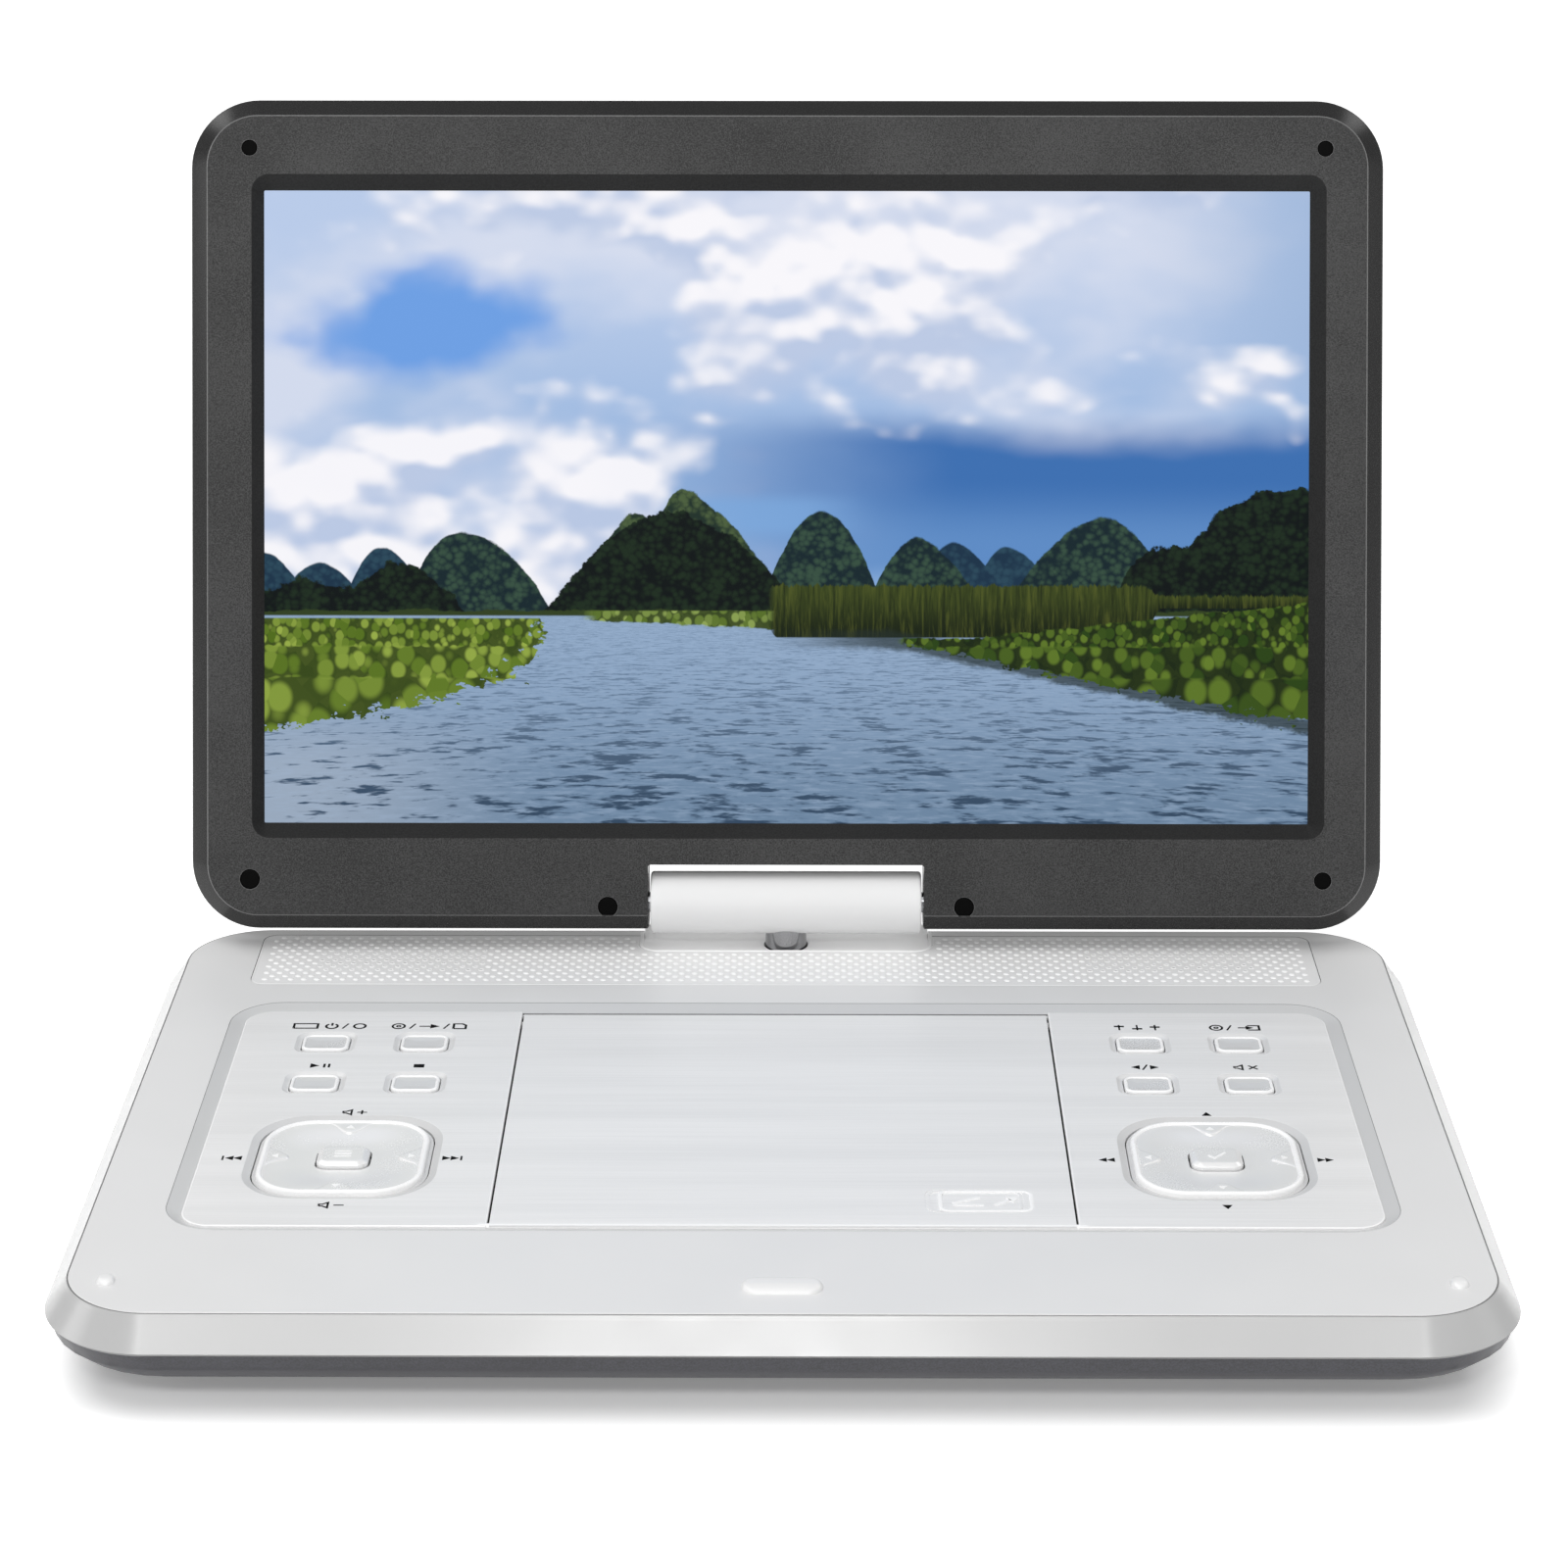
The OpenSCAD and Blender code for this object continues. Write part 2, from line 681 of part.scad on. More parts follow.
module loader_chassis() {
    color("#a9adb1") difference() {
        union() {
            box([-34, -45, chassis_z], [73.2, 27, chassis_z + chassis_t]);
            for (x = [14, 72]) box([x, -37, chassis_z], [x + 1.2, 17, 17.3]);
        }
        box([sled_x - 1, -22, 10], [sled_x + sled_travel + 18, 8, 16]);
        translate([0, disc_y, 10]) cylinder(r = 11.2, h = 5);
        for (y = rod_ys) rod_x(13, 74, y, rod_z, rod_r);
        rod_x(13, 74, screw_y, rod_z, 1 + run);
        for (p = damper_at) translate([p[0], p[1], 10]) cylinder(r = 2.5, h = 5);
    }
}

module loader_dampers() {
    color("#222222") for (p = damper_at) translate([p[0], p[1], 0]) difference() {
        union() {
            translate([0, 0, 10]) cylinder(r = 4, h = 2);
            translate([0, 0, 10]) cylinder(r = 2.5, h = 5);
            translate([0, 0, chassis_z + chassis_t]) cylinder(r = 4, h = 1.8);
        }
        translate([0, 0, 9]) cylinder(r = 1.2, h = 8);
    }
}

module spindle_motor() {
    color("#8f9397") difference() {
        union() {
            translate([0, disc_y, 9]) cylinder(r = 11.2, h = 3);
            translate([0, disc_y, chassis_z - eps]) cylinder(r = 11.2, h = 1.4);
            translate([0, disc_y, 13]) cylinder(r = 3, h = 2.6);
        }
        translate([0, disc_y, 8]) cylinder(r = 1 + run, h = 12);
    }
}

module turntable() {
    color("#2b2b2d") translate([0, disc_y, 0]) {
        translate([0, 0, 9.4]) cylinder(r = 1, h = 10);
        difference() {
            translate([0, 0, 14]) cylinder(r = 12.4, h = 3.4);
            translate([0, 0, 13]) cylinder(r = 11.6, h = 3.6);
        }
        translate([0, 0, 17.3]) cylinder(r = 5, h = 1.4);
        translate([0, 0, table_top - 2.2]) cylinder(r = 14.5, h = 2.2);
        tube_z(0, 0, table_top - 0.1, 14.2, 10.5, 0.3);
        translate([0, 0, table_top - 0.1]) cylinder(r = hub_r, h = 2.2);
        translate([0, 0, table_top + 2]) cylinder(r1 = hub_r, r2 = 5.4, h = 1.2);
    }
}

module guide_rods() {
    color("#c8ccd0") for (y = rod_ys) rod_x(14, 73.2, y, rod_z, rod_r);
}

module pickup_sled() {
    color("#6d7175") difference() {
        union() {
            box([sled_x, -22, 13.5], [sled_x + 15, 8, 17.3]);
            for (y = rod_ys) box([sled_x, y - 3, 13.4], [sled_x + 13, y + 3, 17.3]);
            box([sled_x + 2, -18, 8.5], [sled_x + 13, 4, 14]);
            box([sled_x + 3, disc_y - 5, 17], [sled_x + 13, disc_y + 5, 18.6]);
            box([sled_x + 1, screw_y - 2.8, 13.5], [sled_x + 7, screw_y + 6, 17.3]);
        }
        for (y = rod_ys) rod_x(sled_x - 2, sled_x + 20, y, rod_z, rod_r + run);
        rod_x(sled_x - 2, sled_x + 20, screw_y, rod_z, 1.6 + run);
        translate([sled_x + 8, disc_y, 17.8]) cylinder(r = 3, h = 5);
    }
}

module pickup_lens() {
    color("#7aa2d0") translate([sled_x + 8, disc_y, 17.8]) {
        cylinder(r = 3, h = 1.1);
        translate([0, 0, 1.1]) cylinder(r1 = 2.4, r2 = 1.6, h = 0.6);
    }
}

module lead_screw() {
    color("#c8ccd0") {
        rod_x(14 + run, 75.6, screw_y, rod_z, 1);
        rod_x(15.6, 71.6, screw_y, rod_z, 1.35);
        for (x = [16:1.5:71]) rod_x(x, x + 0.75, screw_y, rod_z, 1.6);
    }
}

module sled_motor() {
    color("#9a9ea2") difference() {
        rod_x(73.2, 84, screw_y, rod_z, 4.5);
        rod_x(72, 76, screw_y, rod_z, 1 + run);
    }
}

// ---- electronics and sockets ----

module main_board() {
    color("#2f7a4a") difference() {
        union() {
            box([88, -58, main_z], [164, 60, main_z + board_t]);
            for (c = [[104, -20, 16], [106, 14, 12], [128, 30, 10]])
                plate(c[0], c[1], main_z, c[2], c[2], board_t + 1.4, 0.5);
            for (y = [-46:8:40]) box([92, y, main_z], [96, y + 4, main_z + board_t + 2.4]);
        }
        for (p = board_posts) translate([p[0], p[1], 4]) cylinder(r = 0.9, h = 6);
    }
}

module battery_pack() {
    color("#3c66a8") for (i = [0:2])
        plate(-114, -36 + i * 42, floor_z + 0.1, 62, 40, 9, 3);
}

module audio_jacks() {
    color("#1e1e1e") for (y = [headphone_y, av_y]) difference() {
        union() {
            box([154, y - 4, main_z + board_t], [167.9, y + 4, 16.2]);
            rod_x(167.8, 170.4, y, port_z, jack_r);
        }
        rod_x(156.4, 171, y, port_z, 1.8);
    }
}

module usb_port() {
    color("#c2c6ca") difference() {
        union() {
            box([156, usb_y - usb_half, port_z - usb_half_h],
                [169.9, usb_y + usb_half, port_z + usb_half_h]);
            box([157, usb_y - 5, main_z + board_t],
                [166, usb_y + 5, port_z - usb_half_h + 0.1]);
        }
        difference() {
            box([157.5, usb_y - usb_half + 0.4, port_z - usb_half_h + 0.4],
                [171, usb_y + usb_half - 0.4, port_z + usb_half_h - 0.4]);
            box([157, usb_y - 5.5, port_z + 0.1], [169, usb_y + 5.5, port_z + 1.9]);
        }
    }
}

module card_slot() {
    color("#c2c6ca") difference() {
        union() {
            box([142, card_y - card_half - 1.2, port_z - card_half_h - 0.6],
                [167.8, card_y + card_half + 1.2, port_z + card_half_h + 0.6]);
            for (y = [card_y - 12, card_y + 8])
                box([146, y, main_z + board_t], [164, y + 4, port_z - 1.8]);
        }
        box([143, card_y - card_half, port_z - card_half_h],
            [169, card_y + card_half, port_z + card_half_h]);
    }
}

module dc_inlet() {
    color("#1e1e1e") {
        difference() {
            union() {
                box([-167.9, dc_y - 5, port_z - 5], [-156, dc_y + 5, port_z + 4.6]);
                rod_x(-170.4, -167.8, dc_y, port_z, dc_r);
            }
            rod_x(-171, -158, dc_y, port_z, 2.8);
        }
        rod_x(-168, -158 + eps, dc_y, port_z, 1.05);
    }
}

module power_switch() {
    color("#1e1e1e") difference() {
        box([-167.9, switch_y - 6, port_z - 3.2], [-160, switch_y + 6, port_z + 3.2]);
        box([-169, switch_y - 4.5, port_z - 1.6], [-163, switch_y + 4.5, port_z + 1.6]);
    }
}

module power_knob() {
    color("#d8d8da") box([-171.6, switch_y - 4.2, port_z - 1.4],
        [-163.4, switch_y + 0.2, port_z + 1.4]);
}

module volume_dial() {
    color("#b9bbbe") translate([dial_x, dial_y, 0]) {
        difference() {
            translate([0, 0, port_z - 1.4]) cylinder(r = dial_r, h = 2.8);
            for (a = [0:12:348]) rotate(a)
                translate([dial_r + 0.1, 0, port_z - 2]) cylinder(r = 0.4, h = 4, $fn = 16);
        }
        translate([0, 0, main_z + board_t + 0.1]) cylinder(r = 2.5, h = 4);
    }
}

// ---- swivel and tilt hinge ----

module swivel_bracket() {
    color("#9da1a5") difference() {
        plate(0, 109.5, bracket_z, 66, 20.5, bracket_t, 3);
        translate([0, pivot_y, 0]) cylinder(r = shaft_r + run, h = 50);
        for (p = bracket_screws) translate([p[0], p[1], 0]) cylinder(r = 1, h = 50);
    }
}

module swivel_shaft() {
    color("#d5d8db") difference() {
        translate([0, pivot_y, 0]) {
            translate([0, 0, 15]) cylinder(r = shaft_r, h = yoke_z - 15);
            translate([0, 0, bracket_z + bracket_t + 0.1]) cylinder(r = shaft_r + 1.4, h = 0.9);
        }
        translate([0, pivot_y, 14]) cylinder(r = 4, h = 30);
    }
}

module swivel_nut() {
    color("#8d9094") {
        difference() {
            translate([0, pivot_y, 16.2]) cylinder(r = 9, h = 2.2, $fn = 6);
            translate([0, pivot_y, 10]) cylinder(r = shaft_r, h = 20);
        }
        tube_z(0, pivot_y, 18.5, 8.6, shaft_r, 1);
        tube_z(0, pivot_y, 19.6, 8.6, shaft_r, 1.2);
    }
}

module barrel_half_shell(side) {
    difference() {
        rod_x(-barrel_half, barrel_half, pivot_y, pivot_z, barrel_r);
        rod_x(-barrel_half + 1.6, barrel_half - 1.6, pivot_y, pivot_z, barrel_in);
        rod_x(-60, 60, pivot_y, pivot_z, pin_r + 0.2);
        translate([0, pivot_y, 20]) cylinder(r = shaft_r + eps, h = pivot_z - 20);
        box([-60, side < 0 ? pivot_y : pivot_y - 20, 20],
            [60, side < 0 ? pivot_y + 20 : pivot_y, 60]);
    }
}

module hinge_cover_front() { color("#f0f0f1") barrel_half_shell(-1); }
module hinge_cover_rear() { color("#f0f0f1") barrel_half_shell(1); }

module hinge_yoke() {
    color("#9da1a5") difference() {
        union() {
            box([-30.5, pivot_y - 4, yoke_z], [30.5, pivot_y + 4, yoke_z + 2.5]);
            translate([0, pivot_y, yoke_z]) cylinder(r = 5.2, h = 4);
            for (s = [-1, 1]) rod_x(s * cheek_x - 1.5, s * cheek_x + 1.5,
                pivot_y, pivot_z, 7.4);
        }
        for (s = [-1, 1]) {
            rod_x(s * (cheek_x - 2), s * (cheek_x + 2), pivot_y, pivot_z, pin_r + run);
            // room for the head of the tilt pin
            rod_x(s * 25.2, s * 27.5, pivot_y, pivot_z, 4.8);
        }
        translate([0, pivot_y, yoke_z - 1]) cylinder(r = 2.4, h = 10);
    }
}

module tilt_hinges() {
    color("#9da1a5") lid_pose() for (s = [-1, 1]) difference() {
        union() {
            rod_x(s * 25.6, s * 27.4, 0, 0, 4.5);
            rod_x(s * 25.6, s * (arm_x + 2), 0, 0, pin_r);
            rod_x(s * (arm_x - 2), s * (arm_x + 2), 0, 0, 4.6);
            box([s * leaf_x - 9.5, -3.4, 2.1], [s * leaf_x + 9.5, 13, 3.6]);
            box([s * arm_x - 2, -3.4, 0], [s * arm_x + 2, 4.6, 3.6]);
        }
        rod_x(s * 24, s * 50, 0, 0, wire_bore);
        translate([s * 52, -1.1, 0]) cylinder(r = 1, h = 10);
        translate([s * 52, 8.5, 0]) cylinder(r = 1, h = 10);
    }
}

module hinge_cable() {
    r = 1.2;
    color("#8a2f2f") {
        translate([0, pivot_y, 15.2]) cylinder(r = r, h = pivot_z - 15.2);
        translate([0, pivot_y, pivot_z]) sphere(r);
        rod_x(-23.4, 0, pivot_y, pivot_z, r);
    }
}

// ---- screen housing ----

// Solid block of the housing between two heights; inset shrinks it inside the walls
module housing(inset, n_edge, n_full, bevel) {
    slab_v = (lid_low + lid_top) / 2;
    hull() {
        plate(0, slab_v, min(n_full, n_edge - sign(n_edge) * bevel),
            lid_w - 2 * inset, lid_h - 2 * inset,
            abs(n_edge - sign(n_edge) * bevel - n_full), lid_r - inset, $fn = hull_fn);
        plate(0, slab_v, n_edge > 0 ? n_edge - eps : n_edge,
            lid_w - 2 * bevel - 2 * inset, lid_h - 2 * bevel - 2 * inset, eps,
            lid_r - bevel - inset, $fn = hull_fn);
    }
}

module hinge_notch(extra) {
    box([-notch_half - extra, lid_low - 5, -20], [notch_half + extra, notch_v + extra, 20]);
}

module picture_window() {
    hull() {
        plate(picture_x, picture_v, glass_n - eps, picture_w, picture_h, eps, 0.5,
            $fn = hull_fn);
        plate(picture_x, picture_v, face_n, picture_w + 2 * recess_bevel,
            picture_h + 2 * recess_bevel, 1, 3, $fn = hull_fn);
    }
}

module screen_bezel() {
    color("#4a4a4b") lid_pose() difference() {
        union() {
            difference() {
                housing(0, face_n, 0, face_bevel);
                housing(lid_wall, face_n - lid_wall, -1, face_bevel);
            }
            intersection() {
                housing(0, face_n, 0, face_bevel);
                hinge_notch(lid_wall);
            }
            plate(picture_x, picture_v, glass_n + eps, picture_w + 14, picture_h + 14,
                face_n - glass_n - 1, 4);
            for (c = cap_spots) translate([c[0], c[1], 3.6])
                cylinder(r = c[2] + 1.4, h = face_n - 4.4);
        }
        picture_window();
        hinge_notch(0);
        rod_x(-44, 44, 0, 0, pin_r + 0.2);
        for (c = cap_spots) translate([c[0], c[1], 0]) {
            translate([0, 0, 5.2]) cylinder(r = c[2], h = 5);
            cylinder(r = 1.1, h = 10);
        }
        for (s = [-1, 1]) box([s * arm_x - 2.3, -5, -1], [s * arm_x + 2.3, 5, 4.8]);
    }
}

module screen_back_cover() {
    color("#3d3d3f") lid_pose() difference() {
        union() {
            difference() {
                housing(0, back_n, 0, back_bevel);
                housing(lid_wall, back_n + lid_wall, 1, back_bevel);
            }
            intersection() {
                housing(0, back_n, 0, back_bevel);
                hinge_notch(lid_wall);
            }
            for (c = cap_spots) {
                top = abs(c[0]) < 60 ? 2.1 : 3.6;
                translate([c[0], c[1], back_n + 1]) cylinder(r = 2.8, h = top - back_n - 1);
            }
            for (x = [-50, 50], v = [66, 94])
                translate([x, v, back_n + 1]) cylinder(r = 2.5, h = 3.4);
        }
        hinge_notch(0);
        rod_x(-44, 44, 0, 0, pin_r + 0.2);
        for (c = cap_spots)
            translate([c[0], c[1], back_n + 2.5]) cylinder(r = 0.9, h = 12);
        for (s = [-1, 1]) box([s * arm_x - 2.3, -5, -4.8], [s * arm_x + 2.3, 5, 1]);
    }
}

module lcd_module() {
    color("#202226") lid_pose() {
        plate(picture_x, picture_v, -0.6, lcd_w, lcd_h, 5.4, 1);
        plate(picture_x, picture_v, 4, picture_w - 0.2, picture_h - 0.2, 0.98, 0.4);
    }
}

module display_board() {
    color("#2f7a4a") lid_pose() {
        plate(0, 80, -2.6, 120, 40, 1.4, 1);
        plate(-20, 82, -4, 16, 16, 2, 0.5);
        plate(24, 84, -3.8, 10, 10, 2, 0.5);
    }
}

module screen_screws() {
    color("#8d9094") lid_pose() for (c = cap_spots)
        translate([c[0], c[1], plug_floor - 0.1]) rotate([180, 0, 0]) screw_up(0, 0, 0, 2, 1.5, 0.9, 8.4);
}

module screw_caps() {
    color("#0d0d0d") lid_pose() for (c = cap_spots)
        translate([c[0], c[1], plug_floor]) cylinder(r = c[2] - 0.02, h = 1);
}

in_frame() bottom_case();
in_frame() top_case();
in_frame() rubber_feet();
in_frame() base_screws();
in_frame() control_panel_left();
in_frame() control_panel_right();
in_frame() speaker_grille();
in_frame() speakers();
in_frame() disc_tray();
in_frame() disc_door();
in_frame() door_latch();
in_frame() latch_spring();
in_frame() loader_chassis();
in_frame() loader_dampers();
in_frame() spindle_motor();
in_frame() turntable();
in_frame() guide_rods();
in_frame() pickup_sled();
in_frame() pickup_lens();
in_frame() lead_screw();
in_frame() sled_motor();
in_frame() button_display();
in_frame() button_source();
in_frame() button_play();
in_frame() button_stop();
in_frame() button_setup();
in_frame() button_mode();
in_frame() button_audio();
in_frame() button_mute();
in_frame() pad_left();
in_frame() pad_right();
in_frame() pad_boot_left();
in_frame() pad_boot_right();
in_frame() button_menu();
in_frame() button_ok();
in_frame() keypad_boards();
in_frame() tact_switches();
in_frame() main_board();
in_frame() battery_pack();
in_frame() audio_jacks();
in_frame() usb_port();
in_frame() card_slot();
in_frame() dc_inlet();
in_frame() power_switch();
in_frame() power_knob();
in_frame() volume_dial();
in_frame() swivel_bracket();
in_frame() swivel_shaft();
in_frame() swivel_nut();
in_frame() hinge_cover_front();
in_frame() hinge_cover_rear();
in_frame() hinge_yoke();
in_frame() tilt_hinges();
in_frame() screen_bezel();
in_frame() screen_back_cover();
in_frame() lcd_module();
in_frame() display_board();
in_frame() screen_screws();
in_frame() screw_caps();
in_frame() hinge_cable();
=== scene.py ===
"""Looks of the portable disc player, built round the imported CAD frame.

Shells, panels, keys, pads, grille, hinge covers and the screen housing are new smooth pieces that
stand for their CAD nodes. All other nodes keep their CAD shape and get a finish. Millimetres are
used for every size, and MM turns them into metres where a mesh is made.
"""

import json
import math

import bmesh
import bpy
from mathutils import Matrix, Vector, geometry


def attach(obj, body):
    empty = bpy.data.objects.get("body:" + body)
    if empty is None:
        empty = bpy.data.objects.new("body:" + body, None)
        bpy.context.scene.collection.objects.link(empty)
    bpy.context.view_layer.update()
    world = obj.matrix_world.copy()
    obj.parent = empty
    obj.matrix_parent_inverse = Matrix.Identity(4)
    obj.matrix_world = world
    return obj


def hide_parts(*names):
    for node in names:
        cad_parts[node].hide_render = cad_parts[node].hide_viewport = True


MM = 0.001
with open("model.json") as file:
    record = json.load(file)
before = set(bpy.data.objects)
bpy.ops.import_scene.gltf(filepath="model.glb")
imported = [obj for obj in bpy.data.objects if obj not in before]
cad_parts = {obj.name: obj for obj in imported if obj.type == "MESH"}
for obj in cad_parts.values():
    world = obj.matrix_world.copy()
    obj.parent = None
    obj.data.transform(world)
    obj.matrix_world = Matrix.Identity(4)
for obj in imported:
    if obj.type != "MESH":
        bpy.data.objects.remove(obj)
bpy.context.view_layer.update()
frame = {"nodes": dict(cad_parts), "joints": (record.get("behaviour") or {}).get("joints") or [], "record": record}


# ---- places taken from the frame ----


class Span:
    """Lowest and highest corner of a CAD node in millimetres, in the row frame or in a pose."""

    def __init__(self, node, pose=None):
        points = [v.co for v in frame["nodes"][node].data.vertices]
        if pose is not None:
            back = pose.inverted()
            points = [back @ p for p in points]
        self.low = [min(p[i] for p in points) / MM for i in range(3)]
        self.high = [max(p[i] for p in points) / MM for i in range(3)]
        self.mid = [(a + b) / 2 for a, b in zip(self.low, self.high)]
        self.size = [b - a for a, b in zip(self.low, self.high)]


joints = {j["name"]: j for j in frame["joints"]}
pivot = Vector(joints["screen_tilt"]["pos_m"])
lean = -math.radians(joints["screen_tilt"]["range_deg"][0])
LID = Matrix.Translation(pivot) @ Matrix.Rotation(lean, 4, "X")
pivot_y = pivot.y / MM
pivot_z = pivot.z / MM

grille_box = Span("speaker_grille")
door_box = Span("disc_door")
left_panel = Span("control_panel_left")
right_panel = Span("control_panel_right")
lower_box = Span("bottom_case")
upper_box = Span("top_case")

deck_z = grille_box.high[2]
part_z = lower_box.high[2]
plate_z = left_panel.high[2]
bed_top = left_panel.low[2]
base_w = upper_box.size[0]
base_d = upper_box.size[1]
base_y = upper_box.mid[1]
rim_w = 6
rim_h = deck_z - part_z
deck_w = base_w - 2 * rim_w
deck_d = base_d - 2 * rim_w
deck_r = 22
wall = 2.2


# ---- outlines and meshes ----


def rect(cx, cy, w, d, r):
    """Corners (x, y, fillet) of a rounded rectangle, counter-clockwise."""
    return [
        (cx - w / 2, cy - d / 2, r), (cx + w / 2, cy - d / 2, r), (cx + w / 2, cy + d / 2, r),
        (cx - w / 2, cy + d / 2, r),
    ]


def inset(corners, d):
    """The same right-angled outline moved inwards by d; outer fillets shrink, inner ones grow."""
    moved = []
    for i, (x, y, r) in enumerate(corners):
        here = Vector((x, y))
        along = (here - Vector(corners[i - 1][:2])).normalized()
        onward = (Vector(corners[(i + 1) % len(corners)][:2]) - here).normalized()
        turn = 1 if along.x * onward.y - along.y * onward.x > 0 else -1
        here += d * Vector((-along.y - onward.y, along.x + onward.x))
        moved.append((here.x, here.y, max(r - d * turn, 0.02)))
    return moved


def outline(corners, steps=10):
    """Points round an outline whose right-angled corners have fillets."""
    points = []
    for i, (x, y, r) in enumerate(corners):
        here = Vector((x, y))
        before = (Vector(corners[i - 1][:2]) - here).normalized()
        after = (Vector(corners[(i + 1) % len(corners)][:2]) - here).normalized()
        centre = here + r * (before + after)
        for k in range(steps + 1):
            t = math.pi / 2 * k / steps
            points.append(centre - r * (after * math.cos(t) + before * math.sin(t)))
    return points


def disc(cx, cy, r, steps=48):
    """Points round a circle."""
    turn = [2 * math.pi * k / steps for k in range(steps)]
    return [Vector((cx + r * math.cos(t), cy + r * math.sin(t))) for t in turn]


def at(points, z):
    """An outline lifted to height z."""
    return [Vector((p.x, p.y, z)) for p in points]


def sweep(corners, profile, z0=0, steps=10):
    """Rings round an outline; each pair of the profile is an inset and a height above z0."""
    return [at(outline(inset(corners, i), steps), z0 + z) for i, z in profile]


def between(a, b, t):
    """The outline part way from a to b."""
    return [p.lerp(q, t) for p, q in zip(a, b)]


def smooth(t):
    t = min(max(t, 0), 1)
    return t * t * (3 - 2 * t)


class Solid:
    """Collects rings and faces in millimetres, then becomes one object."""

    def __init__(self):
        self.points = []
        self.faces = []
        self.looks = []

    def ring(self, points):
        first = len(self.points)
        self.points += points
        return list(range(first, first + len(points)))

    def join(self, a, b, look=0):
        n = len(a)
        for i in range(n):
            self.faces.append((a[i], a[(i + 1) % n], b[(i + 1) % n], b[i]))
            self.looks.append(look)

    def loft(self, rings, look=0):
        """Joins rings of points one after another; look is a number or one per band."""
        loops = [self.ring(r) for r in rings]
        for i, (a, b) in enumerate(zip(loops, loops[1:])):
            self.join(a, b, look[i] if isinstance(look, (list, tuple)) else look)
        return loops

    def closed(self, rings, look=0, ends=(0, 0)):
        """Joins rings and caps the first and the last one."""
        loops = self.loft(rings, look)
        self.cap(loops[0], look=ends[0])
        self.cap(loops[-1], look=ends[1])
        return self

    def cap(self, loop, holes=(), look=0):
        """Fills a flat loop, leaving its holes open."""
        loops = [loop, *holes]
        flat = [k for part in loops for k in part]
        lines = [[Vector(self.points[k]) for k in part] for part in loops]
        for tri in geometry.tessellate_polygon(lines):
            self.faces.append(tuple(flat[k] for k in tri))
            self.looks.append(look)

    def make(self, name, slot, body, looks, replaces=(), pose=None, sharp=38):
        mesh = bpy.data.meshes.new(name)
        place = pose or Matrix.Identity(4)
        mesh.from_pydata([place @ (p * MM) for p in self.points], [], self.faces)
        for i, look in enumerate(self.looks):
            mesh.polygons[i].material_index = look
        bm = bmesh.new()
        bm.from_mesh(mesh)
        bmesh.ops.remove_doubles(bm, verts=bm.verts, dist=1e-7)
        bmesh.ops.dissolve_degenerate(bm, edges=bm.edges, dist=1e-7)
        bmesh.ops.recalc_face_normals(bm, faces=bm.faces)
        bm.to_mesh(mesh)
        bm.free()
        mesh.shade_smooth()
        mesh.set_sharp_from_angle(angle=math.radians(sharp))
        piece = link(name, mesh)
        for look in looks if isinstance(looks, (list, tuple)) else [looks]:
            mesh.materials.append(look)
        even = piece.modifiers.new("even", "WEIGHTED_NORMAL")
        even.keep_sharp = True
        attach(piece, body)
        if replaces:
            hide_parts(*replaces)
        return piece


def link(name, data):
    """A new object in the scene."""
    thing = bpy.data.objects.new(name, data)
    bpy.context.scene.collection.objects.link(thing)
    return thing


def cut(piece, tool_solid, name):
    """Takes a solid out of a piece."""
    mesh = bpy.data.meshes.new(name)
    mesh.from_pydata([p * MM for p in tool_solid.points], [], tool_solid.faces)
    bm = bmesh.new()
    bm.from_mesh(mesh)
    bmesh.ops.recalc_face_normals(bm, faces=bm.faces)
    bm.to_mesh(mesh)
    bm.free()
    tool = link(name, mesh)
    step = piece.modifiers.new(name, "BOOLEAN")
    step.operation = "DIFFERENCE"
    step.solver = "EXACT"
    step.object = tool
    bpy.context.view_layer.update()
    ready = piece.evaluated_get(bpy.context.evaluated_depsgraph_get())
    result = bpy.data.meshes.new_from_object(ready)
    piece.modifiers.clear()
    piece.data = result
    piece.modifiers.new("even", "WEIGHTED_NORMAL").keep_sharp = True
    bpy.data.objects.remove(tool)


def prism(points, z0, z1):
    """A straight solid on a flat outline."""
    return Solid().closed([at(points, z0), at(points, z1)])


# ---- materials ----


def sum_of(operation, turned=False):
    """A method that puts a math node behind an output."""

    def method(self, other):
        return self.net.math(operation, *((other, self) if turned else (self, other)))

    return method


class Sock:
    """A node output that can be used in sums."""

    def __init__(self, net, out):
        self.net = net
        self.out = out

    __add__ = __radd__ = sum_of("ADD")
    __mul__ = __rmul__ = sum_of("MULTIPLY")
    __sub__ = sum_of("SUBTRACT")
    __rsub__ = sum_of("SUBTRACT", turned=True)
    __truediv__ = sum_of("DIVIDE")
    __rtruediv__ = sum_of("DIVIDE", turned=True)


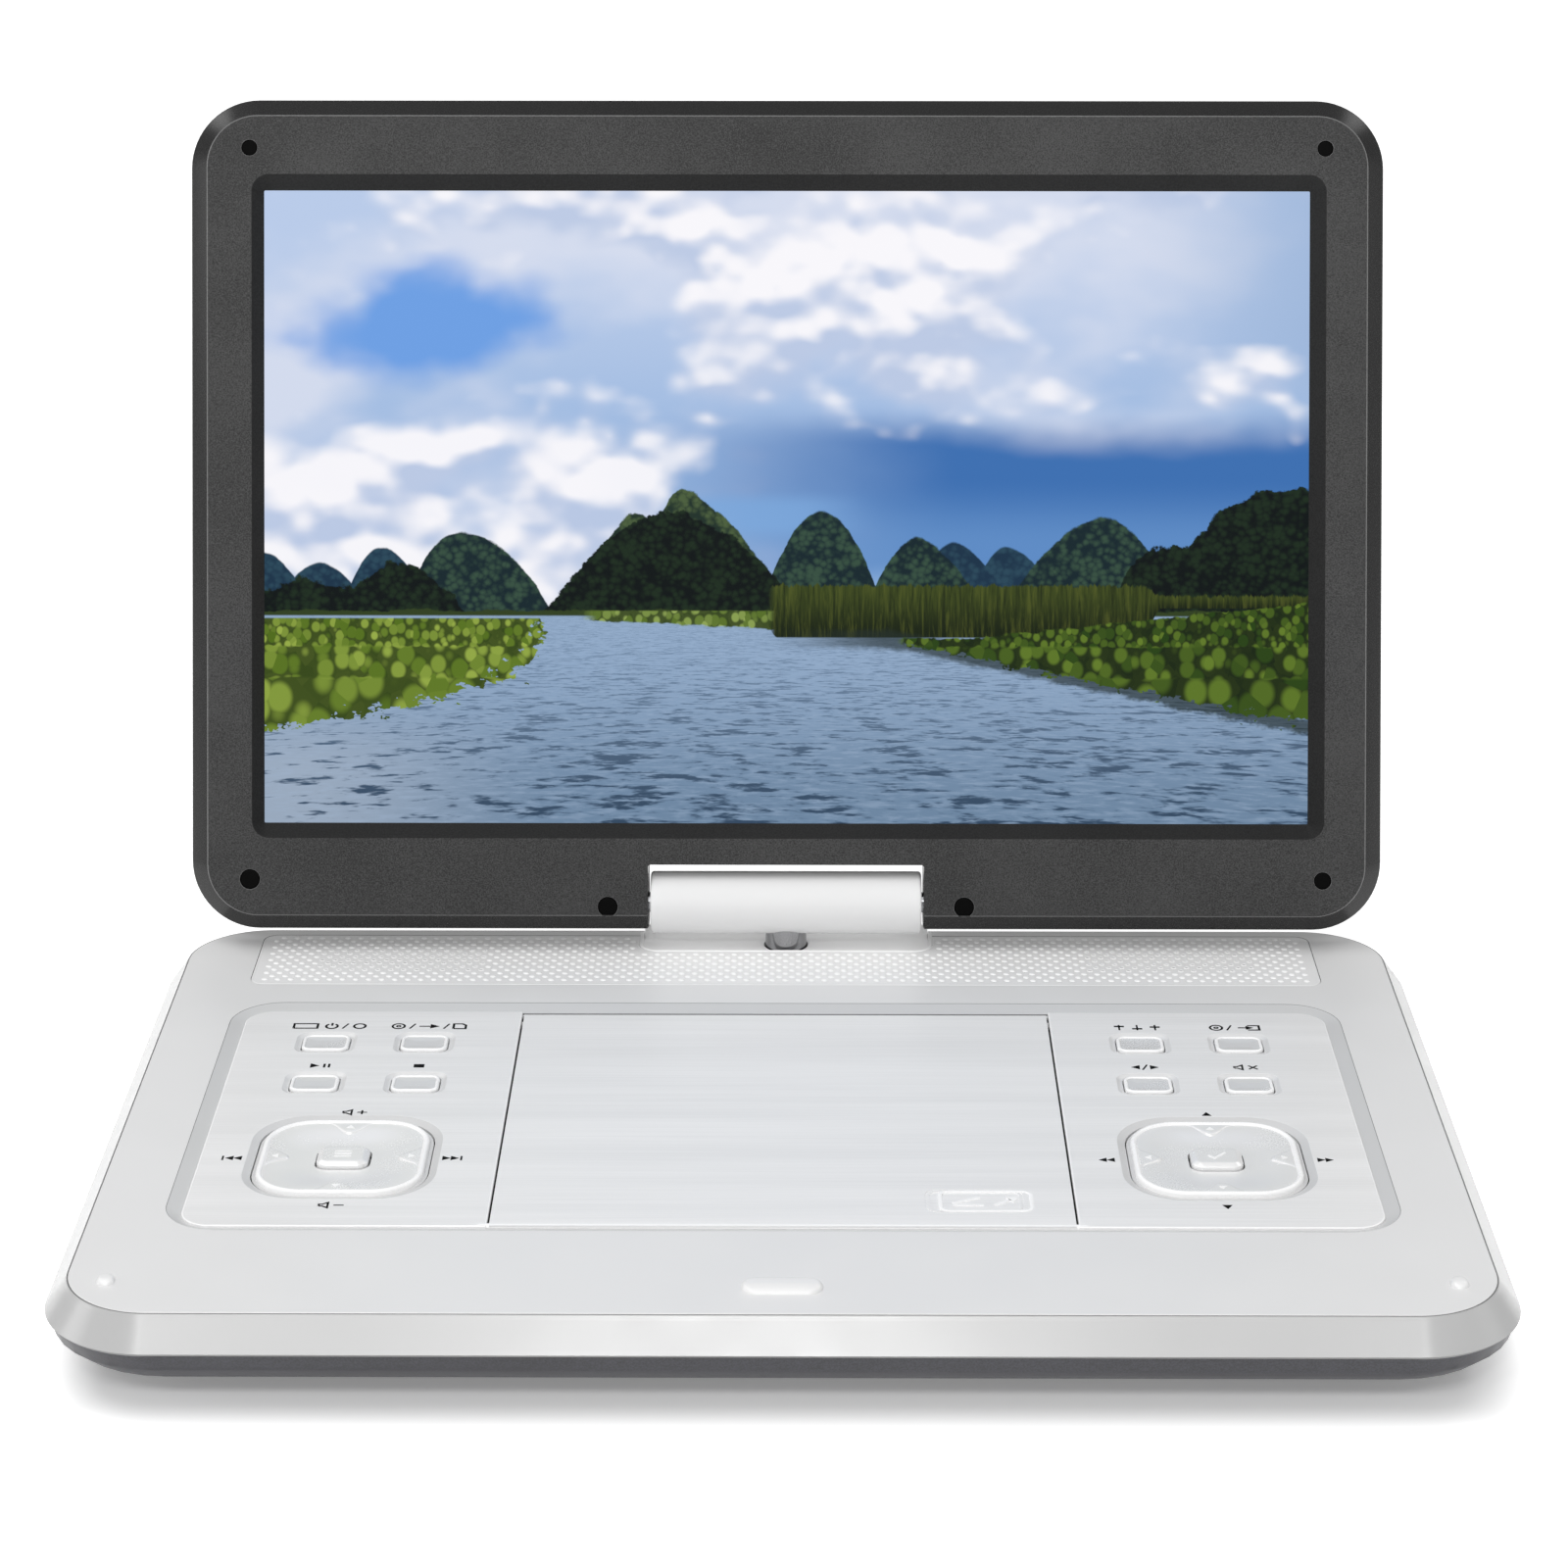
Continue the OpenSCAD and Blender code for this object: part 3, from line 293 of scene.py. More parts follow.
class Net:
    """A material's node tree, written as formulas."""

    def __init__(self, name):
        self.material = bpy.data.materials.new(name)
        self.material.use_nodes = True
        self.tree = self.material.node_tree
        self.shader = self.tree.nodes["Principled BSDF"]

    def put(self, socket, value):
        if isinstance(value, Sock):
            self.tree.links.new(value.out, socket)
        elif isinstance(value, (list, tuple)):
            socket.default_value = (*value, 1.0)[: len(socket.default_value)]
        else:
            socket.default_value = value

    def node(self, kind, out=0, settings=None, **inputs):
        made = self.tree.nodes.new(kind)
        for key, value in (settings or {}).items():
            setattr(made, key, value)
        for key, value in inputs.items():
            self.put(made.inputs[key.replace("_", " ")], value)
        return Sock(self, made.outputs[out])

    def math(self, operation, *values, clamp=False):
        made = self.tree.nodes.new("ShaderNodeMath")
        made.operation = operation
        made.use_clamp = clamp
        for socket, value in zip(made.inputs, values):
            self.put(socket, value)
        return Sock(self, made.outputs[0])

    def most(self, a, b):
        return self.math("MAXIMUM", a, b)

    def length(self, x, y):
        return self.math("SQRT", x * x + y * y)

    def places(self):
        return self.node("ShaderNodeTexCoord", "Object")

    def split(self, vector):
        made = self.tree.nodes.new("ShaderNodeSeparateXYZ")
        self.put(made.inputs[0], vector)
        return [Sock(self, out) for out in made.outputs]

    def vector(self, x, y, z=0.0):
        return self.node("ShaderNodeCombineXYZ", X=x, Y=y, Z=z)

    def stretch(self, scale):
        return self.node("ShaderNodeMapping", Vector=self.places(), Scale=Vector(scale))

    def noise(self, vector, scale, detail=2.0, rough=0.5, distort=0.0):
        return self.node(
            "ShaderNodeTexNoise", 0, Vector=vector, Scale=scale, Detail=detail, Roughness=rough,
            Distortion=distort,
        )

    def ramp(self, value, low, high, to_low=0.0, to_high=1.0, smooth_step=True):
        made = self.tree.nodes.new("ShaderNodeMapRange")
        made.interpolation_type = "SMOOTHSTEP" if smooth_step else "LINEAR"
        for socket, item in zip(made.inputs, (value, low, high, to_low, to_high)):
            self.put(socket, item)
        return Sock(self, made.outputs[0])

    def mix(self, factor, a, b):
        made = self.tree.nodes.new("ShaderNodeMix")
        made.data_type = "RGBA"
        self.put(made.inputs[0], factor)
        self.put(made.inputs[6], a)
        self.put(made.inputs[7], b)
        return Sock(self, made.outputs[2])

    def bump(self, height, strength, distance):
        return self.node("ShaderNodeBump", Height=height, Strength=strength, Distance=distance)

    def finish(self, **inputs):
        for key, value in inputs.items():
            self.put(self.shader.inputs[key.replace("_", " ")], value)
        return self.material


def shade(level, tint=(1, 1, 1)):
    """A screen grey from 0 to 255 as a linear colour, with a tint."""
    c = level / 255
    linear = c / 12.92 if c < 0.04045 else ((c + 0.055) / 1.055) ** 2.4
    return tuple(linear * t for t in tint)


def plastic(name, colour, rough, grain=0.0, grain_scale=2600, metal=0.0, level=0.5, mottle=0.03):
    """Moulded or painted plastic: faint blotches, a fine grain and uneven gloss."""
    net = Net(name)
    where = net.places()
    broad = net.noise(where, 45, 4)
    fine = net.noise(where, grain_scale, 2)
    dark = tuple(c * (1 - mottle) for c in colour)
    pale = tuple(min(1, c * (1 + mottle)) for c in colour)
    tone = net.mix(broad, dark, pale)
    extra = dict(Normal=net.bump(fine, grain, 0.00008)) if grain else {}
    return net.finish(
        Base_Color=tone,
        Roughness=net.ramp(broad + fine * 0.5, 0.4, 1.1, rough * 0.9, rough * 1.12),
        Metallic=metal,
        Specular_IOR_Level=level,
        **extra,
    )


def grained(name, low, high, rough, level, scale=1900, bump=0.35):
    """Spark-eroded dark plastic: a fine two-tone speckle that also stands up."""
    net = Net(name)
    where = net.places()
    speck = net.noise(where, scale, 3, 0.65)
    patch = net.noise(where, 30, 2)
    tone = net.mix(net.ramp(speck + patch * 0.2, 0.42, 0.78), low, high)
    return net.finish(
        Base_Color=tone, Roughness=net.ramp(speck, 0.3, 0.7, rough, rough * 1.2),
        Specular_IOR_Level=level, Normal=net.bump(speck, bump, 0.00006),
    )


def brushed(name, colour, rough, metal, depth=0.2):
    """Finely brushed sheet: streaks that run along X."""
    net = Net(name)
    streak = net.noise(net.stretch((14, 2600, 900)), 1.0, 3, 0.6)
    broad = net.noise(net.stretch((5, 130, 60)), 1.0, 2)
    both = streak * 0.65 + broad * 0.35
    tone = net.mix(
        net.ramp(both, 0.35, 0.65), tuple(c * 0.955 for c in colour),
        tuple(min(1, c * 1.035) for c in colour),
    )
    return net.finish(
        Base_Color=tone, Metallic=metal,
        Roughness=net.ramp(both, 0.3, 0.7, rough * 0.85, rough * 1.2),
        Normal=net.bump(streak, depth, 0.00004),
    )


def metal(name, colour, rough, streak_scale=(60, 900, 900)):
    """Plated or turned metal with faint tool marks."""
    net = Net(name)
    marks = net.noise(net.stretch(streak_scale), 1.0, 3)
    return net.finish(
        Base_Color=net.mix(marks, tuple(c * 0.9 for c in colour), colour), Metallic=1.0,
        Roughness=net.ramp(marks, 0.3, 0.7, rough * 0.8, rough * 1.3),
        Normal=net.bump(marks, 0.08, 0.00004),
    )


def board(name):
    """Solder mask with a faint copper pattern under it."""
    net = Net(name)
    cells = net.node(
        "ShaderNodeTexVoronoi", 0, dict(feature="DISTANCE_TO_EDGE"),
        Vector=net.stretch((260, 260, 20)), Scale=1.0,
    )
    trace = net.ramp(cells, 0.03, 0.07)
    return net.finish(
        Base_Color=net.mix(trace, (0.05, 0.3, 0.1), (0.015, 0.14, 0.05)), Roughness=0.3,
        Normal=net.bump(trace, 0.3, 0.00003),
    )


silver = plastic("silver_paint", shade(232), 0.42, 0.1, 3200, 0.1, 0.5, 0.008)
# The rim: a glossier finish of the silver shell, painted darker than the deck as shade on its sloped faces.
rim_shaded_paint = plastic("rim_shaded_paint", shade(180), 0.24, 0.0, 3200, 0.05, 0.42, 0.006)
# The pan: painted whiter than the deck as painted light, offsetting the shade of the screen and the hinge.
pan_lightened_paint = plastic("pan_lightened_paint", shade(255), 0.33, 0.05, 2600, 0.0, 0.5, 0.01)
# The moat: a darker copy of the silver, painted shade in the channel round the field.
moat_shade_paint = plastic("moat_shade_paint", shade(214), 0.34, 0.0, 2600, 0.1, 0.5, 0.006)
# The grille: painted a little whiter than the deck as painted light, offsetting the open screen's shade.
grille_lightened_paint = plastic("grille_lightened_paint", shade(238), 0.4, 0.1, 3000, 0.05, 0.5, 0.01)
# Painted highlight: near-white paint on the grille's dots and the pan's bead, where they catch the light.
dot_highlight_paint = plastic("dot_highlight_paint", shade(254), 0.3, 0.0, 3000, 0.0, 0.6, 0.004)
panel_sheet = brushed("panel_sheet", shade(240), 0.4, 0.12)
# Painted highlight: near-white paint on the rounded front edges of the panels and the door, also used for the
# door's raised lift mark.
plate_edge_highlight = plastic("plate_edge_highlight", shade(254), 0.25, 0.0, 3000, 0.0, 0.8, 0.004)
# Painted highlight: white on the rounded rims of keys and pads; also the white of the raised icons and arrows.
rim_highlight_and_icon_white = plastic("rim_highlight_and_icon_white", shade(254), 0.28, 0.0, 3000, 0.0, 0.6, 0.006)
key_face = plastic("key_face", shade(226), 0.26, 0.04, 2200, 0.15, 0.6, 0.02)
pad_face = plastic("pad_face", shade(242), 0.26, 0.03, 2600, 0.15, 0.7, 0.01)
gloss_white = plastic("gloss_white", shade(236), 0.5, 0.0, 3000, 0.0, 0.25, 0.006)
lower_dark = grained("lower_dark", shade(28, (1, 1, 1.25)), shade(56, (1, 1, 1.25)), 0.34, 0.5)
bezel_face = grained("bezel_face", shade(42), shade(74), 0.55, 0.2, 2600)
# Painted shade: a darker copy of the bezel plastic on its outer bevel and in the screw seats.
bezel_edge_shade = grained("bezel_edge_shade", shade(28), shade(38), 0.24, 0.3, 2400, 0.06)
# Painted shade: a darker copy of the bezel plastic on the window's sloped recess.
bezel_recess_shade = grained("bezel_recess_shade", shade(30), shade(42), 0.5, 0.12, 2400, 0.1)
lid_back = grained("lid_back", shade(44), shade(62), 0.42, 0.35)
cap_rubber = plastic("cap_rubber", shade(5), 0.6, 0.1, 2600, 0, 0.05)
ink = plastic("print_ink", shade(10), 0.6, 0.1, 3000, 0, 0.1)


# ---- the base shells ----


def deck_rect(out):
    """Outline of the base's outer face, out millimetres beyond the deck's crease."""
    return outline(rect(0, base_y, deck_w + 2 * out, deck_d + 2 * out, deck_r + out), 20)


# Sunk field and door opening, in the places that part.scad gives them
field_low = left_panel.low
field_high = right_panel.high
field_mid_y = (field_low[1] + field_high[1]) / 2
field_d = field_high[1] - field_low[1]
moat_low_y = field_low[1] - 3
moat_high_y = field_high[1] + 5.2
moat_mid_y = (moat_low_y + moat_high_y) / 2
moat_d = moat_high_y - moat_low_y
moat_w = 2 * (field_high[0] + 4.1)
field_w = field_high[0] - field_low[0]
key_names = ["display", "source", "play", "stop", "setup", "mode", "audio", "mute"]
key_w, key_d = 13, 10
key_play = 0.6
key_well_size = (17, 14.6, 4)
pad_hole_size = (46, 46, 14)
pad_well_size = (50.4, 50.4, 15.5)
shell_bed = bed_top - 0.02
grille_y = grille_box.mid[1]
pan_half = 42
pan_low_y = pivot_y - 7
shaft_hole = disc(0, pivot_y, 6.5)


def key_opening(spot):
    """Outline of the opening that a small key moves in."""
    return outline(rect(*spot, key_w + key_play, key_d + key_play, 2.3), 8)


def pad_opening(spot):
    """Outline of the opening that a pad tilts in."""
    return outline(rect(*spot, *pad_hole_size), 14)


def base_upper():
    solid = Solid()
    under = deck_z - wall
    slope = rim_w / rim_h
    inner = [
        at(deck_rect(slope * (deck_z - under) - wall), under), at(deck_rect(rim_w - wall), part_z),
    ]
    side = [
        (rim_w - 0.9, part_z),
        (rim_w - 0.3, part_z + 0.55),
        (rim_w, part_z + 0.95),
        (rim_w - 0.3, part_z + 1.4),
        (1.1, deck_z - 1.35),
        (0.75, deck_z - 0.8),
        (0.45, deck_z - 0.32),
        (0.28, deck_z - 0.16),
        (0.2, deck_z - 0.3),
        (-0.02, deck_z - 0.3),
        (-0.1, deck_z - 0.12),
        (-0.3, deck_z),
    ]
    # The rim's bands (look 1) are painted darker than the deck as shade on their slopes.
    rings = inner + [at(deck_rect(o), z) for o, z in side]
    # Look 2 is the painted shade grey on the parting lip and in the crease groove at the deck's edge.
    looks = [0, 0] + [2] * 2 + [1] * 6 + [2] * 2 + [0]
    loops = solid.loft(rings, looks)

    def moat_ring(t, z):
        a = outline(rect(0, moat_mid_y, moat_w, moat_d, 14), 12)
        b = outline(rect(0, field_mid_y, field_w, field_d, 8), 12)
        return at(between(a, b, t), z)

    # The moat's edges take the crease grey (look 2) and its slopes the darker moat paint (look 3), painted shade
    # in the channel.
    moat = solid.loft(
        [
            moat_ring(-0.04, deck_z), moat_ring(0.0, deck_z - 0.05),
            moat_ring(0.04, deck_z - 0.14), moat_ring(0.95, deck_z - 0.97),
            moat_ring(1.0, deck_z - 1.0), moat_ring(1.0, shell_bed),
        ],
        [2, 3, 3, 3, 2],
    )
    half = door_box.high[0] + 0.3
    door_hole = outline(
        rect(0, (door_box.low[1] + door_box.high[1]) / 2, 2 * half, door_box.size[1] + 0.6, 0.4),
        12,
    )
    openings = [door_hole]
    openings += [key_opening(Span("button_" + name).mid[:2]) for name in key_names]
    openings += [pad_opening(Span("pad_" + side).mid[:2]) for side in ("left", "right")]
    passages = [solid.loft([at(hole, shell_bed), at(hole, under)]) for hole in openings]
    solid.cap(moat[-1], [passage[0] for passage in passages])

    grille = outline(rect(0, grille_y, grille_box.size[0] + 0.3, grille_box.size[1] + 0.3, 4.1), 8)
    # The walls of the grille's bed take the same grey: a dark joint and painted shade in the gap round the grille.
    bed = solid.loft([at(grille, deck_z), at(grille, deck_z - 0.82)], 2)
    solid.cap(bed[-1])
    solid.cap(loops[-1], [moat[0], bed[0]])
    solid.cap(loops[0], [passage[-1] for passage in passages])
    piece = solid.make(
        "upper_shell", "silver_plastic", "base",
        [silver, rim_shaded_paint, crease_and_joint_shade, moat_shade_paint],
        ["top_case"],
    )
    pan = rect(0, pan_low_y + 15, 2 * pan_half, 30, 5)
    cut(piece, prism(outline(pan, 8), deck_z - 1, deck_z + 3), "pan_cut")
    cut(piece, prism(shaft_hole, under - 1, deck_z), "shaft_hole")


def bumper(name, x, y, w, d, height):
    """A lid bumper moulded on the deck: steep at the back, running out softly at the front."""
    base = rect(x, y, w, d, min(w, d) / 2 - 0.05)
    steps = [(0, -0.2), (0.05, 0.1), (0.2, 0.45), (0.5, 0.75), (0.9, 0.93), (1.5, 1.0)]
    rings = []
    for i, share in steps:
        ring = outline(inset(base, i))
        rise = [height * share * smooth((p.y - y) / d * 1.1 + 1) for p in ring]
        rings.append([Vector((p.x, p.y, deck_z + z)) for p, z in zip(ring, rise)])
    Solid().closed(rings).make(name, "silver_plastic", "base", bumper_paint)


# ---- panels, keys and pads ----

pad_w, pad_r = 43.4, 13
pad_top = Span("pad_left").high[2]


def plate_with_wells(name, box, outer_r, inner_r, keys, pad, node):
    """A brushed side panel with a sloped well round each key and round the pad. The wells are painted darker as
    shade, and the top edge is painted white as a highlight.
    """
    x0, y0 = box.low[:2]
    x1, y1 = box.high[:2]
    left_r, right_r = (outer_r, inner_r) if x0 < 0 else (inner_r, outer_r)
    corners = [(x0, y0, left_r), (x1, y0, right_r), (x1, y1, right_r), (x0, y1, left_r)]
    solid = Solid()
    edge = [(0, bed_top), (0, plate_z - 0.3), (0.08, plate_z - 0.12), (0.4, plate_z)]
    # The last band of the edge takes material 3, painted white as the highlight on the rounded top edge.
    loops = solid.loft(sweep(corners, edge), [0, 0, 3])
    wells = []
    for spot in keys:
        top = outline(rect(*spot, *key_well_size), 8)
        low = key_opening(spot)
        slope = [(0, 0), (0.07, 0.05), (0.62, 0.6), (0.72, 0.66), (1, 0.68)]
        rings = [at(between(top, low, t), plate_z - drop) for t, drop in slope]
        wells.append(solid.loft(rings + [at(low, bed_top)], [0, 1, 1, 1, 1]))
    top = outline(rect(*pad, *pad_well_size), 14)
    low = pad_opening(pad)
    slope = [(0, 0), (0.08, 0.05), (0.9, 0.7), (1, 0.8)]
    rings = [at(between(top, low, t), plate_z - drop) for t, drop in slope]
    wells.append(solid.loft(rings + [at(low, bed_top)], [0, 2, 2, 2]))
    solid.cap(loops[-1], [w[0] for w in wells])
    solid.cap(loops[0], [w[-1] for w in wells])
    solid.make(
        name, "brushed_panel", "base",
        [panel_sheet, key_well, pad_well, plate_edge_highlight],
        [node],
        sharp=50,
    )


def small_key(node, body):
    """A key with a rounded rim, painted white as a highlight, round a dished face."""
    box = Span(node)
    x, y = box.mid[:2]
    top = box.high[2]
    foot = box.low[2]
    base = rect(x, y, key_w, key_d, 2.6)
    side = [
        (-0.8, foot - top), (-0.8, foot - top + 0.9), (0, foot - top + 0.9), (0, -0.6),
        (0.08, -0.3), (0.25, -0.1), (0.5, 0), (0.75, -0.06), (0.95, -0.25), (1.05, -0.36),
        (1.7, -0.44), (3.4, -0.52),
    ]
    solid = Solid().closed(sweep(base, side, top, 8), [0] * 8 + [1] * 3, (0, 1))
    solid.make(node + "_cap", "key_plastic", body, [rim_highlight_and_icon_white, key_face], [node])


def four_way_pad(side, x, y, body):
    """A rounded-square pad: skirt painted darker as shade, rim painted white as a highlight, dished glossy face, a
    mark at each side.
    """
    solid = Solid()
    base = rect(x, y, pad_w, pad_w, pad_r)
    hole = outline(rect(x, y, 14.4, 12.4, 3.5), 14)
    rim = [
        (-1.0, -2.9), (-1.0, -1.6), (-0.9, -1.5), (0, -1.5), (0, -1.0), (0.12, -0.5), (0.4, -0.18),
        (0.85, -0.02), (1.2, -0.06), (1.5, -0.3), (1.7, -0.56),
    ]
    rings = sweep(base, rim, pad_top, 14)
    edge = outline(inset(base, 1.7), 14)
    for k in range(1, 12):
        t = k / 12
        drop = 0.56 + 0.95 * smooth(t * 1.1)
        rings.append(at(between(edge, hole, t), pad_top - drop))
    rings += [at(hole, pad_top - 1.55), at(hole, pad_top - 2.9)]
    loops = solid.loft(rings, [2] * 3 + [0] * 7 + [1] * 13)
    solid.join(loops[0], loops[-1])
    looks = [rim_highlight_and_icon_white, pad_face, pad_well]
    solid.make("pad_" + side + "_face", "key_plastic", body, looks, ["pad_" + side])
    for k, word in enumerate(["right", "back", "left", "front"]):
        turn = Matrix.Translation((x * MM, y * MM, 0)) @ Matrix.Rotation(k * math.pi / 2, 4, "Z")
        pad_mark("pad_%s_mark_%s" % (side, word), turn, body)


def pad_mark(name, turn, body):
    """A bell-shaped rise that runs in from the pad's rim, with a small arrow on it."""
    reach, width, rim_x = 5.4, 12.5, pad_w / 2 - 1.9
    rings = []
    for scale, z in [(1.1, -1.2), (1, -0.68), (0.93, -0.5), (0.8, -0.42), (0.6, -0.4)]:
        points = []
        for k in range(17):
            y = (k / 16 - 0.5) * width
            bell = 0.5 + 0.5 * math.cos(2 * math.pi * y / width)
            points.append(Vector((rim_x - reach * bell * scale, y * (0.4 + 0.6 * scale))))
        rings.append(at(points, pad_top + z))
    Solid().closed(rings).make(name, "key_plastic", body, pad_face, pose=turn)
    arrow = [Vector((rim_x - 2.9, -1.1)), Vector((rim_x - 1.3, 0)), Vector((rim_x - 2.9, 1.1))]
    raised = prism(arrow, pad_top - 0.45, pad_top - 0.3)
    raised.make(name + "_arrow", "key_plastic", body, rim_highlight_and_icon_white, pose=turn)


def centre_key(node, body, icon):
    """The raised key in the middle of a pad, with bevelled sides and a raised icon."""
    box = Span(node)
    x, y = box.mid[:2]
    top = box.high[2]
    base = rect(x, y, 13.4, 11.4, 3)
    side = [(0, -2.4), (0, -0.95), (0.12, -0.72), (1.25, -0.1), (1.5, -0.02), (1.8, 0)]
    solid = Solid().closed(sweep(base, side, top, 8))
    solid.make(node + "_cap", "key_plastic", body, [pad_face], [node])
    for k, shape in enumerate(icon):
        points = [Vector((x + px, y + py)) for px, py in shape]
        prism(points, top - 0.02, top + 0.1).make(
            "%s_icon_%d" % (node, k), "key_plastic", body, rim_highlight_and_icon_white
        )


def bar(x0, y0, x1, y1):
    return [(x0, y0), (x1, y0), (x1, y1), (x0, y1)]


# ---- printed marks ----


def stroke(points, width):
    """A line of even width through points, as one outline."""
    line = [Vector(p) for p in points]
    left, right = [], []
    for i, here in enumerate(line):
        before = (here - line[i - 1]).normalized() if i else None
        after = (line[i + 1] - here).normalized() if i + 1 < len(line) else None
        d = ((before or after) + (after or before)).normalized()
        side = Vector((-d.y, d.x)) * width / 2
        if before and after:
            side /= max(0.35, d.dot(after))
        left.append(here + side)
        right.append(here - side)
    return [(p.x, p.y) for p in right + left[::-1]]


def arrow_head(x, y, size, turn):
    """A filled triangle whose tip points at turn degrees."""
    spots = [(size, 0), (-size, size * 1.15), (-size, -size * 1.15)]
    c, s_ = math.cos(math.radians(turn)), math.sin(math.radians(turn))
    return [(x + a * c - b * s_, y + a * s_ + b * c) for a, b in spots]


def slash(x):
    """A slanted stroke between two pictograms."""
    return stroke([(x - 0.7, -1.7), (x + 0.7, 1.7)], 0.5)


def frame_shape(x0, y0, x1, y1, width):
    """An empty box drawn as a line."""
    return stroke([(x0, y0), (x1, y0), (x1, y1), (x0, y1), (x0, y0 - width / 2)], width)


def disc_shape(x):
    """A disc seen from above."""
    return [ring_shape(x, 0, 1.7, 0.6, 0, 359), ring_shape(x, 0, 0.5, 0.5, 0, 359)]


def ring_shape(x, y, r, width, start=0, end=360, steps=28):
    """Part of a ring, as a stroke."""
    turn = [math.radians(start + (end - start) * k / steps) for k in range(steps + 1)]
    return stroke([(x + r * math.cos(t), y + r * math.sin(t)) for t in turn], width)


def speaker_shape(x, y):
    """A small loudspeaker."""
    body = [(-1.5, -0.5), (-0.7, -0.5), (0.7, -1.5), (0.7, 1.5), (-0.7, 0.5), (-1.5, 0.5)]
    points = [(x + a, y + b) for a, b in body]
    return stroke([*points, points[0]], 0.55)


def print_mark(name, x, y, shapes):
    """Marks printed on a panel: flat shapes a few hundredths of a millimetre thick."""
    solid = Solid()
    for shape in shapes:
        points = [Vector((x + a, y + b)) for a, b in shape]
        solid.closed([at(points, plate_z - 0.01), at(points, plate_z + 0.03)])
    solid.make(name, "dark_plastic", "base", ink)


marks = {
    "screen_power": [
        frame_shape(-10.2, -1.5, -3.6, 1.6, 0.65), ring_shape(0.4, -0.1, 1.6, 0.65, 125, 415),
        bar(0.1, 0.3, 0.7, 2.1), slash(4.2), ring_shape(8.2, 0, 1.6, 0.65, 0, 359),
    ],
    "source": [
        *disc_shape(-8.2), slash(-4.3), bar(-2.4, -0.3, 0.6, 0.3), arrow_head(2.0, 0, 1.3, 0),
        slash(5.2),
        stroke(
            [(7.2, -1.6), (10.6, -1.6), (10.6, 0.8), (9.6, 1.7), (7.2, 1.7), (7.2, -1.9)], 0.65
        ),
    ],
    "play": [arrow_head(-1.2, 0, 1.25, 0), bar(1.1, -1.2, 1.7, 1.2), bar(2.4, -1.2, 3.0, 1.2)],
    "stop": [bar(-1.45, -1.1, 1.45, 1.1)],
    "settings": [
        part
        for k, knob in enumerate((0.8, -0.8, 0.4))
        for part in (
            bar(k * 5 - 5.25, -1.8, k * 5 - 4.75, 1.8),
            bar(k * 5 - 6.4, knob - 0.45, k * 5 - 3.6, knob + 0.45),
        )
    ],
    "input": [
        *disc_shape(-5.2), slash(-1.6),
        stroke([(3.6, 1.5), (6.8, 1.5), (6.8, -1.5), (3.6, -1.5)], 0.65), bar(0.9, -0.3, 3.4, 0.3),
        arrow_head(4.2, 0, 1.1, 0),
    ],
    "channels": [arrow_head(-2.6, 0, 1.2, 180), slash(0), arrow_head(2.6, 0, 1.2, 0)],
    "mute": [
        speaker_shape(-1.4, 0), stroke([(1.0, -1.2), (3.4, 1.2)], 0.55),
        stroke([(1.0, 1.2), (3.4, -1.2)], 0.55),
    ],
    "louder": [speaker_shape(-1.5, 0), bar(0.7, -0.25, 3.3, 0.25), bar(1.75, -1.2, 2.25, 1.2)],
    "softer": [speaker_shape(-1.5, 0), bar(0.7, -0.25, 3.3, 0.25)],
    "previous": [
        arrow_head(1.3, 0, 1.1, 180), arrow_head(-0.9, 0, 1.1, 180), bar(-2.8, -1.25, -2.3, 1.25),
    ],
    "next": [arrow_head(-1.3, 0, 1.1, 0), arrow_head(0.9, 0, 1.1, 0), bar(2.3, -1.25, 2.8, 1.25)],
    "back": [arrow_head(1.1, 0, 1.05, 180), arrow_head(-1.0, 0, 1.05, 180)],
    "forward": [arrow_head(-1.1, 0, 1.05, 0), arrow_head(1.0, 0, 1.05, 0)],
    "up": [arrow_head(0, 0, 1.15, 90)],
    "down": [arrow_head(0, 0, 1.15, -90)],
}


def side_controls():
    keys = {
        "left": zip(key_names[:4], ("screen_power", "source", "play", "stop")),
        "right": zip(key_names[4:], ("settings", "input", "channels", "mute")),
    }
    pads = {
        "left": ["louder", "softer", "previous", "next"],
        "right": ["up", "down", "back", "forward"],
    }
    menu_icon = [bar(-2.2, k * 1.5 - 1.75, 2.2, k * 1.5 - 1.25) for k in range(3)]
    tick_icon = [stroke([(-2.2, 0), (-0.6, -1.7), (2.4, 1.7)], 0.7)]
    for side, panel in (("left", left_panel), ("right", right_panel)):
        pad = Span("pad_" + side).mid[:2]
        spots = []
        for node, mark in keys[side]:
            x, y = Span("button_" + node).mid[:2]
            spots.append((x, y))
            small_key("button_" + node, "key_" + node)
            print_mark("mark_" + mark, x, y + 11.1, marks[mark])
        plate_with_wells("panel_" + side, panel, 8, 0.3, spots, pad, "control_panel_" + side)
        four_way_pad(side, *pad, "pad_" + side)
        around = [(0, 26.9), (0, -28.8), (-28.6, -1.4), (28.2, -1.2)]
        for mark, (dx, dy) in zip(pads[side], around):
            print_mark("mark_" + mark, pad[0] + dx, pad[1] + dy, marks[mark])
    centre_key("button_menu", "key_menu", menu_icon)
    centre_key("button_ok", "key_ok", tick_icon)


def ridge_ring(name, corners, width, low, high, look):
    """A low rounded ridge that runs round an outline, on the door."""
    side = [(0, low), (0.05, high - 0.08), (0.25 * width, high), (0.75 * width, high)]
    side += [(width - 0.05, high - 0.08), (width, low)]
    solid = Solid()
    loops = solid.loft(sweep(corners, side, steps=8))
    solid.join(loops[-1], loops[0])
    solid.make(name, "brushed_panel", "door", look)


